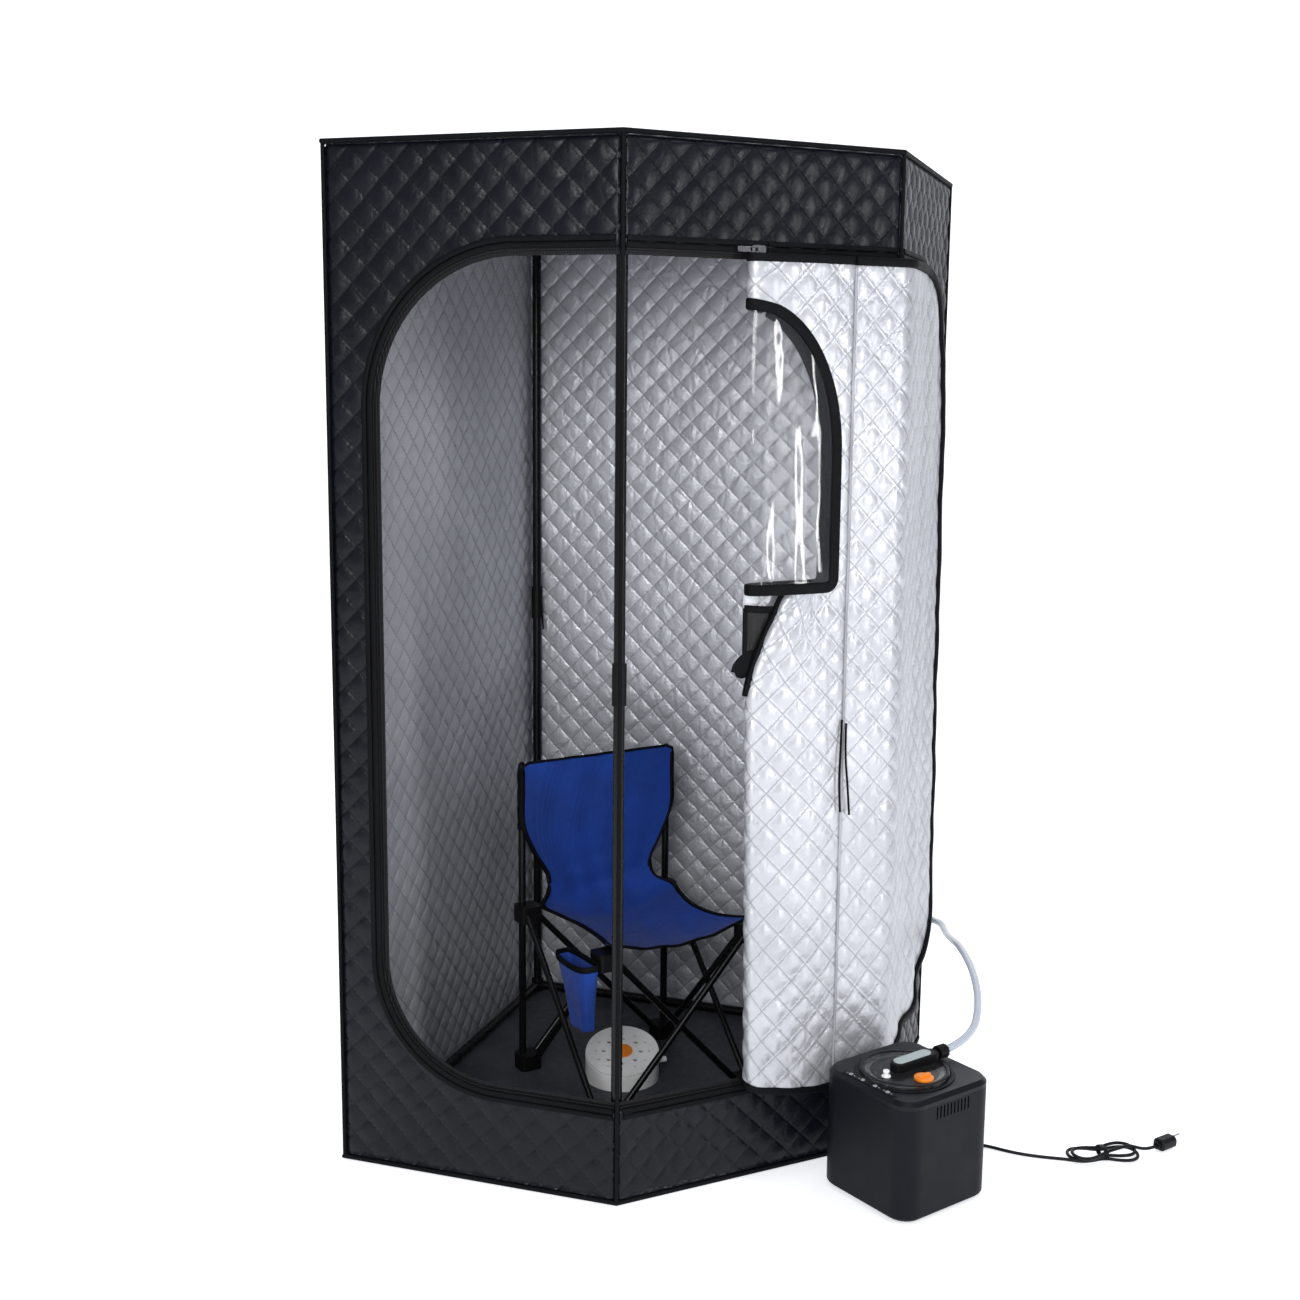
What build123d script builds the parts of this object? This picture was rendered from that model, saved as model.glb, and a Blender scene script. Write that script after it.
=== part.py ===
from build123d import *
import math
import os

os.makedirs("parts", exist_ok=True)

# ---- driving dimensions, mm ------------------------------------------------
TENT_SIDE = 900.0          # each long side wall
HALF = TENT_SIDE / math.sqrt(2)
FRONT_HALF = 263.6         # half the width of the front wall
TENT_HEIGHT = 1800.0
FABRIC = 5.0               # quilted wall
DOOR_FABRIC = 4.0
SILL_Z, HEADER_Z = 175.0, 1620.0
OPEN_HALF = 2 * FRONT_HALF * 1.5 - 82.0    # half the opening, measured round the corners
TOP_R, BOTTOM_R = 260.0, 220.0
FOLD_GAP = 30.0            # between the fixed half of the door and the folded half
SKIRT_Z = 310.0            # below this the door drags over whatever stands in front
POLE_R, POLE_BORE, POLE_INSET = 9.5, 8.5, 20.0
RAIL_LOW_Z, RAIL_HIGH_Z = 20.0, 1774.0
COUPLER_Z, COUPLER_L = 915.0, 70.0
WIN_HALF, WIN_LOW, WIN_SHOULDER = 121.0, 1067.0, 1292.0
WIN_MID, WIN_RX, WIN_RY = -45.0, 166.0, 244.0   # quarter ellipse over the shoulder
STEAMER_AT, STEAMER_YAW, STEAMER_W = (225.0, -665.0), 10.0, 215.0
LID_X, LID_R = -8.0, 78.0
POT_AT, POT_R = (-30.0, -40.0), 75.0
HOSE_D, CORD_D, TIE_D = 14.0, 6.0, 4.0
VENT_X, VENT_Z = -36.0, 191.0               # first slot and their height on the front face
PORT_AT, PORT_Z = 123.6, 240.0             # from the right corner along its wall
LEG_R, UPRIGHT_R = 6.5, 7.5
SEAT_Z, BACK_TOP = 344.0, 646.0

YC = 504.6
CORNERS = [(-HALF, YC - HALF), (-FRONT_HALF, -YC), (FRONT_HALF, -YC),
           (HALF, YC - HALF), (0.0, YC)]
WALL_L = [math.dist(CORNERS[i], CORNERS[(i + 1) % 5]) for i in range(5)]


# ---- helpers ---------------------------------------------------------------
def plan(inset=0.0):
    """Corner points of the tent's outline moved inward."""
    out = []
    for i in range(5):
        a, b, c = CORNERS[i - 1], CORNERS[i], CORNERS[(i + 1) % 5]
        l1, l2 = math.dist(a, b), math.dist(b, c)
        n1 = (-(b[1] - a[1]) / l1, (b[0] - a[0]) / l1)
        n2 = (-(c[1] - b[1]) / l2, (c[0] - b[0]) / l2)
        k = inset / (1 + n1[0] * n2[0] + n1[1] * n2[1])
        out.append((b[0] + k * (n1[0] + n2[0]), b[1] + k * (n1[1] + n2[1])))
    return out


def slab(points, z0, z1):
    face = make_face(Polyline(*points, close=True))
    return Pos(0, 0, z0) * extrude(face, amount=z1 - z0, dir=(0, 0, 1))


def rect(s0, s1, z0, z1):
    return Pos((s0 + s1) / 2, (z0 + z1) / 2) * Rectangle(s1 - s0, z1 - z0)


def wall_frame(i):
    a, b = CORNERS[i], CORNERS[(i + 1) % 5]
    d = ((b[0] - a[0]) / WALL_L[i], (b[1] - a[1]) / WALL_L[i])
    return Plane(origin=(a[0], a[1], 0), x_dir=(d[0], d[1], 0), z_dir=(d[1], -d[0], 0))


def wall_piece(i, face, thick, depth=0.0):
    return wall_frame(i) * (Pos(0, 0, -depth - thick) * extrude(face, amount=thick, dir=(0, 0, 1)))


def rod(p, q, r):
    axis = Vector(*q) - Vector(*p)
    return extrude(Plane(origin=p, z_dir=axis) * Circle(r), amount=axis.length)


def arch(grow, shift=0.0):
    """The door opening laid flat, centred on the front wall's middle."""
    hw = OPEN_HALF + grow
    f = rect(-hw, hw, SILL_Z - grow, HEADER_Z + grow)
    f = fillet(f.vertices().group_by(Axis.Y)[-1], TOP_R + grow)
    f = fillet(f.vertices().group_by(Axis.Y)[0], BOTTOM_R + grow)
    return Pos(shift, 0) * f


def window(grow, shift=0.0):
    f = rect(-WIN_HALF - grow, WIN_HALF + grow, WIN_LOW - grow, WIN_SHOULDER)
    f = fillet(f.vertices().group_by(Axis.Y)[0], 14.0 + grow)
    crown = Pos(WIN_MID, WIN_SHOULDER) * Ellipse(WIN_RX + grow, WIN_RY + grow)
    crown = crown & rect(-60, WIN_HALF + grow, WIN_SHOULDER, WIN_SHOULDER + 400)
    return Pos(shift, 0) * (f + crown)


def tube(points, d):
    """A round cord along straight runs joined by tangent arcs."""
    pts = [Vector(*p) for p in points]
    radii = []
    for a, b, c in zip(pts, pts[1:], pts[2:]):
        u, v = (b - a), (c - b)
        turn = math.radians(u.get_angle(v))
        radii.append(0.45 * min(u.length, v.length) / math.tan(turn / 2))
    path = FilletPolyline(*pts, radius=radii)
    line = path.edges().sort_by_distance(pts[0])[0]
    wire = Wire(path.edges())
    start = pts[0]
    aim = (pts[1] - pts[0]).normalized()
    solid = sweep(Plane(origin=start, z_dir=aim) * Circle(d / 2), path=wire)
    length = wire.length
    print(f"cord d {d:.0f} length {length:.1f} least bend radius {min(radii):.1f} "
          f"volume {solid.volume:.0f} against {math.pi * d * d / 4 * length:.0f}")
    return solid


# ---- tent: skin ------------------------------------------------------------
Z_LOW, Z_TOP = 10.0, TENT_HEIGHT - 10.0
END = 5.2


def wall_left():
    return wall_piece(4, rect(END, WALL_L[4] - END, Z_LOW, Z_TOP), FABRIC)


def wall_right():
    face = rect(END, WALL_L[3] - END, Z_LOW, Z_TOP) - Pos(PORT_AT, PORT_Z) * Circle(16.0)
    return wall_piece(3, face, FABRIC)


def front_side_panels():
    left = rect(END, WALL_L[0] - END, Z_LOW, Z_TOP) - arch(0, WALL_L[0] + FRONT_HALF)
    right = rect(END, WALL_L[2] - END, Z_LOW, Z_TOP) - arch(0, -FRONT_HALF)
    return [wall_piece(0, left, FABRIC), wall_piece(2, right, FABRIC)]


def door_header():
    return wall_piece(1, rect(END, WALL_L[1] - END, HEADER_Z, Z_TOP), FABRIC)


def door_sill():
    return wall_piece(1, rect(END, WALL_L[1] - END, Z_LOW, SILL_Z), FABRIC)


def roof_panel():
    return slab(plan(6.0), TENT_HEIGHT - 6.0, TENT_HEIGHT - 2.0)


def floor_mat():
    return slab(plan(6.0), 0.0, 4.0)


def piping():
    """Bound edges: a ring round the roof, a ring round the floor, five uprights."""
    cage = None
    for z in (5.0, TENT_HEIGHT - 4.0):
        ring = slab(plan(-4.0), z - 4.0, z + 4.0) - slab(plan(4.0), z - 5.0, z + 5.0)
        ring = chamfer(ring.edges().filter_by(Plane.XY).filter_by(GeomType.LINE), 1.6)
        cage = ring if cage is None else cage + ring
    for x, y in CORNERS:
        cage = cage + Pos(x, y, TENT_HEIGHT / 2) * Cylinder(3.6, TENT_HEIGHT - 10.0)
    return cage


# ---- tent: door ------------------------------------------------------------
FOLD_Y = -YC - FOLD_GAP / 2
FLAP_Y = -YC - FOLD_GAP
POCKET_LOW = 930.0
FLAP = Plane(origin=(0, FLAP_Y, 0), x_dir=(1, 0, 0), z_dir=(0, -1, 0))
R2 = math.sqrt(0.5)
WING = Plane(origin=(FRONT_HALF, FLAP_Y, 0), x_dir=(R2, R2, 0), z_dir=(R2, -R2, 0))


def door_fixed_inner():
    face = arch(-5, FRONT_HALF) & rect(FRONT_HALF + 3, WALL_L[1] - END, 0, 1700)
    face = face - window(10, FRONT_HALF)
    return wall_piece(1, face, DOOR_FABRIC)


def door_fixed_wing():
    face = arch(-5, -FRONT_HALF) & rect(END, 600, 0, 1700)
    return wall_piece(2, face, DOOR_FABRIC)


def door_fold_strip():
    """The turned-back fabric at the middle of the door."""
    face = Circle(FOLD_GAP / 2 + 1.5) - Circle(FOLD_GAP / 2 - 1.5)
    face = face & rect(-40, -0.3, -40, 40)
    return Pos(0, FOLD_Y, SKIRT_Z) * extrude(face, amount=POCKET_LOW - 5 - SKIRT_Z, dir=(0, 0, 1))


def flap_face(z0, z1):
    return (arch(-5) & rect(3, FRONT_HALF - END, z0, z1)) - window(10)


def wing_face(z0, z1):
    return arch(-5, -FRONT_HALF) & rect(END, 600, z0, z1)


def door_flap_inner():
    return FLAP * extrude(flap_face(SKIRT_Z, 1700), amount=DOOR_FABRIC, dir=(0, 0, 1))


def door_flap_wing():
    return WING * extrude(wing_face(SKIRT_Z, 1700), amount=DOOR_FABRIC, dir=(0, 0, 1))


def door_skirt_inner():
    return FLAP * extrude(flap_face(0, SKIRT_Z - 1), amount=DOOR_FABRIC, dir=(0, 0, 1))


def door_skirt_wing():
    return WING * extrude(wing_face(0, SKIRT_Z - 1), amount=DOOR_FABRIC, dir=(0, 0, 1))


def window_binding(shift):
    face = (window(9.6, shift) - window(-8.4, shift)) & rect(shift + 3, shift + 200, 900, 1700)
    return Pos(0, 0, -1) * extrude(face, amount=DOOR_FABRIC + 2, dir=(0, 0, 1))


def window_pane(shift):
    face = window(-8.8, shift) & rect(shift + 3, shift + 200, 900, 1700)
    return Pos(0, 0, 1.4) * extrude(face, amount=1.2, dir=(0, 0, 1))


def door_pocket():
    """A flat open-topped pouch with a bound mouth, under the window."""
    outer = Pos(20, -YC - 6.2, 995) * Box(110, 9.6, 130)
    return outer - Pos(20, -YC - 6.2, 1000) * Box(106, 5.6, 132)


def zip_tapes():
    """Tape with its coil, following the edge of the opening on each wall."""
    out = []
    for i, shift in ((0, WALL_L[0] + FRONT_HALF), (1, FRONT_HALF), (2, -FRONT_HALF)):
        keep = rect(7, WALL_L[i] - 7, 0, 1750)
        tape = wall_piece(i, (arch(7, shift) - arch(-12, shift)) & keep, 1.0, FABRIC + 0.3)
        coil = wall_piece(i, (arch(-0.6, shift) - arch(-4.4, shift)) & keep, 4.2, 1.5)
        for t in (tape + coil).solids():
            out.append(t)
    return out


SLIDER_X, SLIDER_Z = -20.0, 1624.0


def zip_slider():
    body = Pos(SLIDER_X, -YC - 3.4, SLIDER_Z) * Box(26, 5.6, 14)
    body = fillet(body.edges().filter_by(Axis.Y), 4)
    post = Pos(SLIDER_X - 2, -YC - 8.2, SLIDER_Z) * Box(5, 4.4, 5)
    return body + post - Pos(SLIDER_X - 2, -YC - 8.6, SLIDER_Z) * Cylinder(1.1, 20)


def zip_pull():
    tab = Pos(SLIDER_X - 24, -YC - 8.4, SLIDER_Z) * Box(36, 1.8, 9)
    tab = fillet(tab.edges().filter_by(Axis.Y), 3.5)
    slot = Pos(SLIDER_X - 11, -YC - 8.4, SLIDER_Z) * Box(14, 8, 5.8)
    bars = Pos(SLIDER_X - 4.45, -YC - 8.6, SLIDER_Z + 3.7) * Box(8.1, 1.8, 1.6)
    bars += Pos(SLIDER_X - 4.45, -YC - 8.6, SLIDER_Z - 3.7) * Box(8.1, 1.8, 1.6)
    pin = Pos(SLIDER_X - 2, -YC - 8.6, SLIDER_Z) * Cylinder(0.8, 8.4)
    return tab - slot + bars + pin


def hose_grommet():
    ring = Pos(PORT_AT, PORT_Z, 0) * Cylinder(15.6, 9) - Pos(PORT_AT, PORT_Z, 0) * Cylinder(7.4, 12)
    flange = Pos(PORT_AT, PORT_Z, 2.4) * Cylinder(24, 4) - Pos(PORT_AT, PORT_Z, 2.4) * Cylinder(15, 6)
    return wall_frame(3) * (ring + flange)


def tie_points(x, y, z, lean):
    return [(x, y, z), (x - 3, y - 3.5, z - 54), (x - 1 + lean, y - 4.5, z - 110), (x + 4 + lean, y - 4, z - 164)]


def door_ties():
    return [tube(tie_points(147.0, FLAP_Y - DOOR_FABRIC - 3.2, 832.0, -5.0), TIE_D),
            tube(tie_points(156.0, FLAP_Y - DOOR_FABRIC - 3.2, 825.0, 5.0), TIE_D)]


def post_tie():
    x, y = plan(POLE_INSET)[4]
    return tube(tie_points(x, y - 15.5, 1020.0, 3.0), TIE_D)


# ---- tent: frame -----------------------------------------------------------
POSTS = plan(POLE_INSET)


def pole(p, q):
    return rod(p, q, POLE_R) - rod(p, q, POLE_BORE)


def posts():
    out = []
    for x, y in POSTS:
        out.append(pole((x, y, RAIL_LOW_Z + 16), (x, y, COUPLER_Z - 0.3)))
        out.append(pole((x, y, COUPLER_Z + 0.3), (x, y, RAIL_HIGH_Z - 16)))
    return out


def post_couplers():
    shape = Cylinder(12.2, COUPLER_L) - Cylinder(POLE_R + 0.2, COUPLER_L + 2)
    return [Pos(x, y, COUPLER_Z) * shape for x, y in POSTS]


def rails():
    out = []
    for z in (RAIL_LOW_Z, RAIL_HIGH_Z):
        for i in range(5):
            a, b = POSTS[i], POSTS[(i + 1) % 5]
            k = 16.0 / math.dist(a, b)
            d = (b[0] - a[0], b[1] - a[1])
            out.append(pole((a[0] + k * d[0], a[1] + k * d[1], z),
                            (b[0] - k * d[0], b[1] - k * d[1], z)))
    return out


def corner_connectors():
    out = []
    for z, up in ((RAIL_LOW_Z, 1), (RAIL_HIGH_Z, -1)):
        for i, (x, y) in enumerate(POSTS):
            hub = Pos(x, y, z) * fillet(Cylinder(13.4, 30).edges().filter_by(GeomType.CIRCLE), 3)
            hub = hub + rod((x, y, z), (x, y, z + up * 50), POLE_BORE - 0.2)
            for j in (i - 1, (i + 1) % 5):
                b = POSTS[j]
                k = 50.0 / math.dist((x, y), b)
                end = (x + k * (b[0] - x), y + k * (b[1] - y), z)
                hub = hub + rod((x, y, z), end, POLE_BORE - 0.2)
            out.append(hub)
    return out


# ---- steamer ---------------------------------------------------------------
def placed(shape):
    return Pos(STEAMER_AT[0], STEAMER_AT[1], 0) * Rot(0, 0, STEAMER_YAW) * shape


def steamer_point(x, y, z):
    c, s = math.cos(math.radians(STEAMER_YAW)), math.sin(math.radians(STEAMER_YAW))
    return (STEAMER_AT[0] + c * x - s * y, STEAMER_AT[1] + s * x + c * y, z)


def steamer_housing():
    outer = Pos(0, 0, 11.4) * extrude(RectangleRounded(STEAMER_W, STEAMER_W, 38), amount=194.0)
    outer -= Pos(0, 0, 11.0) * extrude(RectangleRounded(STEAMER_W - 6, STEAMER_W - 6, 35), amount=196)
    for k in range(10):
        outer -= Pos(VENT_X + 8.4 * k, -STEAMER_W / 2, VENT_Z) * Box(3.6, 12, 22)
    relief = Pos(STEAMER_W / 2 + 5, 60, 18) * Rot(0, 90, 0) * (Cylinder(6.4, 12) - Cylinder(3.3, 14))
    return placed(outer + relief - Pos(STEAMER_W / 2, 60, 18) * Rot(0, 90, 0) * Cylinder(3.3, 12))


def steamer_base():
    tray = Pos(0, 0, 5) * extrude(RectangleRounded(STEAMER_W - 3, STEAMER_W - 3, 36), amount=6)
    tray = chamfer(tray.edges().group_by(Axis.Z)[0], 4)
    for x in (-78, 78):
        for y in (-78, 78):
            tray += Pos(x, y, 3) * Cylinder(11, 6)
    return placed(tray)


def steamer_deck():
    deck = Pos(0, 0, 205.8) * extrude(RectangleRounded(STEAMER_W, STEAMER_W, 38), amount=14.2)
    deck = chamfer(deck.edges().group_by(Axis.Z)[-1], 7)
    deck -= Pos(LID_X, 0, 210) * Cylinder(66, 30)
    for k in range(4):
        deck -= Pos(-93.5, -45 + 30 * k, 218) * Cylinder(4.6, 8)
    return placed(deck)


def inner_pot():
    cup = Pos(LID_X, 0, 119) * Cylinder(62, 190) - Pos(LID_X, 0, 122) * Cylinder(60.6, 190)
    rim = Pos(LID_X, 0, 221) * (Cylinder(70, 1.4) - Cylinder(60.6, 4))
    neck = Pos(LID_X, 0, 217) * (Cylinder(62, 8) - Cylinder(60.6, 10))
    return placed(cup + neck + rim)


def steamer_lid():
    plate = Pos(LID_X, 0, 224.6) * Cylinder(LID_R, 5.0)
    plate = chamfer(plate.edges().group_by(Axis.Z)[-1], 1.6)
    plug = Pos(LID_X, 0, 218) * (Cylinder(59.6, 9) - Cylinder(56, 10))
    return placed(plate + plug)


def lid_arm():
    arm = Pos(16, 0, 227.4) * extrude(SlotOverall(108, 28), amount=15.0)
    arm = arm & (Pos(0, 0, 235) * Box(141.6, 60, 40))
    return placed(fillet(arm.edges().group_by(Axis.Z)[-1], 2.0))


def arm_cover():
    cover = Pos(10, 0, 242.7) * extrude(SlotOverall(84, 21), amount=2.6)
    return placed(fillet(cover.edges().group_by(Axis.Z)[-1], 1.0))


def relief_valve():
    foot = Pos(LID_X - 52, -7, 228.5) * Cylinder(8.0, 2.2)
    foot = chamfer(foot.edges().group_by(Axis.Z)[-1], 0.8)
    stem = Pos(LID_X - 52, -7, 232.4) * Cylinder(3.6, 7.0)
    cap = Pos(LID_X - 52, -7, 237.2) * fillet(Cylinder(5.6, 4).edges().group_by(Axis.Z)[-1], 1.5)
    return placed(foot + stem + cap)


def fill_cap():
    cap = Pos(LID_X - 6, -52, 229.8) * fillet(Cylinder(17.0, 4.6).edges().group_by(Axis.Z)[-1], 1.4)
    grip = Pos(LID_X - 6, -52, 233.4) * Box(29, 8.0, 4.0)
    grip = fillet(grip.edges().filter_by(Axis.Z), 3.6)
    return placed(cap + grip)


def hose_nut():
    ring = Pos(82, 0, 235) * Rot(0, 90, 0) * (Cylinder(12.6, 20) - Cylinder(HOSE_D / 2 + 0.3, 22))
    for k in range(12):
        a = math.radians(30 * k)
        ring -= Pos(82, 13.2 * math.cos(a), 235 + 13.2 * math.sin(a)) * Rot(0, 90, 0) * Cylinder(1.5, 24)
    return placed(ring)


def control_strip():
    strip = Pos(-93.5, 0, 220.2) * extrude(RectangleRounded(11.6, 128, 5), amount=1.2)
    for k in range(4):
        strip -= Pos(-93.5, -45 + 30 * k, 220) * Cylinder(4.4, 8)
    return placed(strip)


def panel_button(k):
    cap = Pos(-93.5, -45 + 30 * k, 219.9) * Cylinder(4.1, 5.0)
    return placed(fillet(cap.edges().group_by(Axis.Z)[-1], 0.6))


HOSE_ROUTE = [steamer_point(88.0, 0, 235), (385, -636.8, 240), (460, -560, 268), (520, -460, 290),
              (575, -345, 292), (640, -225, 262), (684, -150, 245), (725, -80, 240),
              (686.7, -4.3, 240), (602.7, 9.0, 240), (535.0, -58.7, 240)]
CORD_Z = CORD_D / 2 + 0.2
CORD_ROUTE = [steamer_point(108.5, 60, 18), steamer_point(150, 64, 16), (410, -575, 5.0),
              (452, -597, CORD_Z), (484, -650, CORD_Z), (522, -686, CORD_Z), (562, -703, 6.0)]
TAIL_ROUTE = [(680, -741, 7.0), (700, -748, 6.0), (717, -752.5, 8.5), (733, -755, 11.5)]
HANK_AT, HANK_YAW, HANK_SIZE = (625.0, -728.0), -14.0, (150.0, 88.0, 20.0)
PLUG_YAW = 8.0


def steam_hose():
    return tube(HOSE_ROUTE, HOSE_D)


def power_cord():
    return tube(CORD_ROUTE, CORD_D)


def power_cord_tail():
    return tube(TAIL_ROUTE, CORD_D)


def cord_hank():
    """The tied bundle of spare cord, as its closed outer shape."""
    lx, ly, lz = HANK_SIZE
    block = extrude(RectangleRounded(lx, ly, 34), amount=lz)
    block = fillet(block.edges().group_by(Axis.Z)[-1], 6)
    block = Pos(HANK_AT[0], HANK_AT[1], 0.2) * Rot(0, 0, HANK_YAW) * block
    return block - rod(CORD_ROUTE[-2], CORD_ROUTE[-1], 3.3) - rod(TAIL_ROUTE[0], TAIL_ROUTE[1], 3.3)


def at_plug(shape):
    return Pos(735, -755.0, 12.5) * Rot(0, 0, PLUG_YAW) * shape


def plug():
    grip = Pos(20, 0, 0) * Box(38, 26, 22)
    grip = fillet(grip.edges().filter_by(Axis.X), 8.5)
    grip = fillet(grip.edges().group_by(Axis.X)[0], 4)
    grip = chamfer(grip.edges().group_by(Axis.X)[-1], 1.5)
    sleeve = Pos(-2, 0, 0) * Rot(0, 90, 0) * (Cylinder(6.5, 14) - Pos(0, 0, -3) * Cylinder(3.3, 12))
    return at_plug(grip + Pos(4, 0, 0) * sleeve)


def plug_pins():
    out = []
    for y in (-6.4, 6.4):
        out.append(at_plug(Pos(39.3 + 9.5, y, -2.4) * Box(19, 1.6, 6.4)))
    out.append(at_plug(Pos(39.3 + 10.5, 0, 6.0) * Rot(0, 90, 0) * Cylinder(2.3, 21)))
    return out


# ---- steam outlet pot ------------------------------------------------------
TILT = 17.0
LOOK = (-0.448, -0.894)


def pot_frame():
    """Plane of the sloping rim."""
    n = (math.sin(math.radians(TILT)) * LOOK[0], math.sin(math.radians(TILT)) * LOOK[1],
         math.cos(math.radians(TILT)))
    return Plane(origin=(POT_AT[0], POT_AT[1], 58), x_dir=(LOOK[1], -LOOK[0], 0), z_dir=n)


def pot_body():
    x, y = POT_AT
    cup = Pos(x, y, 64) * Cylinder(POT_R, 120)
    cup = cup - Pos(x, y, 70) * Cylinder(POT_R - 3, 126)
    cut = pot_frame() * (Pos(0, 0, 60) * Box(260, 260, 120))
    cup = cup - cut
    cup = chamfer(cup.edges().group_by(Axis.Z)[0], 2)
    spout = rod((x + POT_R - 1.5, y, 26), (x + POT_R + 24, y, 26), 6) - rod((x, y, 26), (x + 140, y, 26), 4.2)
    return cup + spout - rod((x + 30, y, 26), (x + 100, y, 26), 4.2)


def pot_lid():
    disc = extrude(Ellipse(POT_R / math.cos(math.radians(TILT)) - 1, POT_R - 1), amount=4)
    disc = Pos(0, 0, 0.3) * Rot(0, 0, 90) * disc
    for k in range(8):
        a = math.radians(45 * k)
        disc -= Pos(38 * math.cos(a), 38 * math.sin(a), 2) * Cylinder(4.5, 12)
    for k in range(12):
        a = math.radians(30 * k)
        disc -= Pos(54 * math.cos(a), 54 * math.sin(a), 2) * Cylinder(3.2, 12)
    return pot_frame() * disc


# ---- folding chair ---------------------------------------------------------
CX, CYF, CYB = 165.0, -207.0, 118.0
CHAIR_AT, CHAIR_YAW = (-12.0, -11.0), 5.0
FOOT_Z = 16.0


def seated(shapes):
    """The chair stands turned a little to the left of the tent's middle line."""
    return [Pos(CHAIR_AT[0], CHAIR_AT[1], 0) * Rot(0, 0, CHAIR_YAW) * s for s in shapes]


def leg_lines():
    """Eight crossing legs: (foot end, seat end)."""
    e = 146.0
    low, high = FOOT_Z + 8, SEAT_Z - 8
    return [((-e, CYF - 8, low), (e, CYF - 8, high)), ((e, CYF + 8, low), (-e, CYF + 8, high)),
            ((-e, CYB + 8, low), (e, CYB + 8, high)), ((e, CYB - 8, low), (-e, CYB - 8, high)),
            ((-CX - 8, CYF + 17, low), (-CX - 8, CYB - 24, high)),
            ((-CX + 8, CYB - 24, low), (-CX + 8, CYF + 17, high)),
            ((CX + 8, CYF + 17, low), (CX + 8, CYB - 24, high)),
            ((CX - 8, CYB - 24, low), (CX - 8, CYF + 17, high))]


def chair_legs():
    return seated([rod(p, q, LEG_R) - rod(p, q, LEG_R - 1.2) for p, q in leg_lines()])


def chair_uprights():
    out = []
    for x in (-CX - 6, CX + 6):
        out.append(rod((x, CYB + 4, 6), (x, CYB + 4, BACK_TOP), UPRIGHT_R)
                   - rod((x, CYB + 4, 5), (x, CYB + 4, BACK_TOP + 1), UPRIGHT_R - 1.2))
    return seated(out)


def hub_blocks(z0, z1, grow):
    out = []
    for x in (-1, 1):
        for y in (CYF, CYB):
            cx, cy = x * (CX - 2), y + (6 if y < 0 else -4)
            block = Pos(cx, cy, (z0 + z1) / 2) * Box(46, 44, z1 - z0)
            block = fillet(block.edges().filter_by(Axis.Z), 9)
            for p, q in leg_lines():
                block = block - rod(p, q, LEG_R + 0.15)
            if y > 0:
                block = block - rod((x * (CX + 6), CYB + 4, 5.8), (x * (CX + 6), CYB + 4, 400), UPRIGHT_R + 0.15)
            out.append(max(block.solids(), key=lambda s: s.volume))
    return seated(out)


def chair_feet():
    return hub_blocks(0.3 + 4.0, FOOT_Z + 20, 0)


def chair_brackets():
    return hub_blocks(SEAT_Z - 24, SEAT_Z + 10, 0)


SLING_ROWS = [  # along the sling: y, z, half width
    (108, 652, 179), (108, 588, 179), (107, 522, 178), (106, 462, 152), (103, 414, 124), (93, 380, 128),
    (64, 365, 156), (20, 359, 146), (-50, 355, 132), (-120, 356, 136), (-172, 362, 150), (-206, 369, 164)]
SLING_T = 2.4


def smooth(k):
    k = max(0.0, min(1.0, k))
    return k * k * (3 - 2 * k)


def sling_row(s):
    """Side line of the sling at s, 0 at the top of the back and 1 at the front edge."""
    k = s * (len(SLING_ROWS) - 1)
    i = min(int(k), len(SLING_ROWS) - 2)
    f = k - i
    p = [SLING_ROWS[max(0, min(len(SLING_ROWS) - 1, i + j))] for j in (-1, 0, 1, 2)]
    return [0.5 * (2 * b + (c - a) * f + (2 * a - 5 * b + 4 * c - d) * f ** 2
                   + (3 * b - a - 3 * c + d) * f ** 3) for a, b, c, d in zip(*p)]


def sling_section(s):
    """A bowed strip across the sling: it bellies back behind, and sags under the seat."""
    y, z, w = sling_row(s)
    seat = smooth((s - 0.36) / 0.24)
    turn = math.pi / 2 * seat
    sag = 40.0 * seat * (0.86 + 0.14 * math.cos((s - 0.72) * 9)) + 15.0 * (1 - seat) * math.sin(math.pi * s)
    e = (math.cos(turn), -math.sin(turn))

    def line(lift):
        out = []
        for j in range(9):
            t = -1 + j / 4.0
            d = sag * (1 - t * t) + lift
            out.append(Vector(w * t, y + e[0] * d, z + e[1] * d))
        return out

    one, two = line(SLING_T / 2), line(-SLING_T / 2)
    edges = [Edge.make_spline(one), Edge.make_line(one[-1], two[-1]),
             Edge.make_spline(two[::-1]), Edge.make_line(two[0], one[0])]
    return Wire(edges)


def chair_sling():
    return seated([Solid.make_loft([sling_section(i / 16.0) for i in range(17)], ruled=False)])


def sling_sleeves():
    """Hems that slip over the tops of the uprights."""
    out = []
    for x in (-CX - 6, CX + 6):
        out.append(Pos(x, CYB + 4, 581) * Cylinder(9.6, 138) - Pos(x, CYB + 4, 579) * Cylinder(7.9, 138))
    return seated(out)


def chair_pocket():
    top = Plane(origin=(-211, -180, 338)) * RectangleRounded(40, 116, 12)
    low = Plane(origin=(-203, -188, 208)) * RectangleRounded(26, 58, 9)
    top_in = Plane(origin=(-211, -180, 338.5)) * RectangleRounded(36, 112, 10)
    low_in = Plane(origin=(-203, -188, 210)) * RectangleRounded(22, 54, 7)
    return seated([loft([low, top]) - loft([low_in, top_in])])


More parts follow.
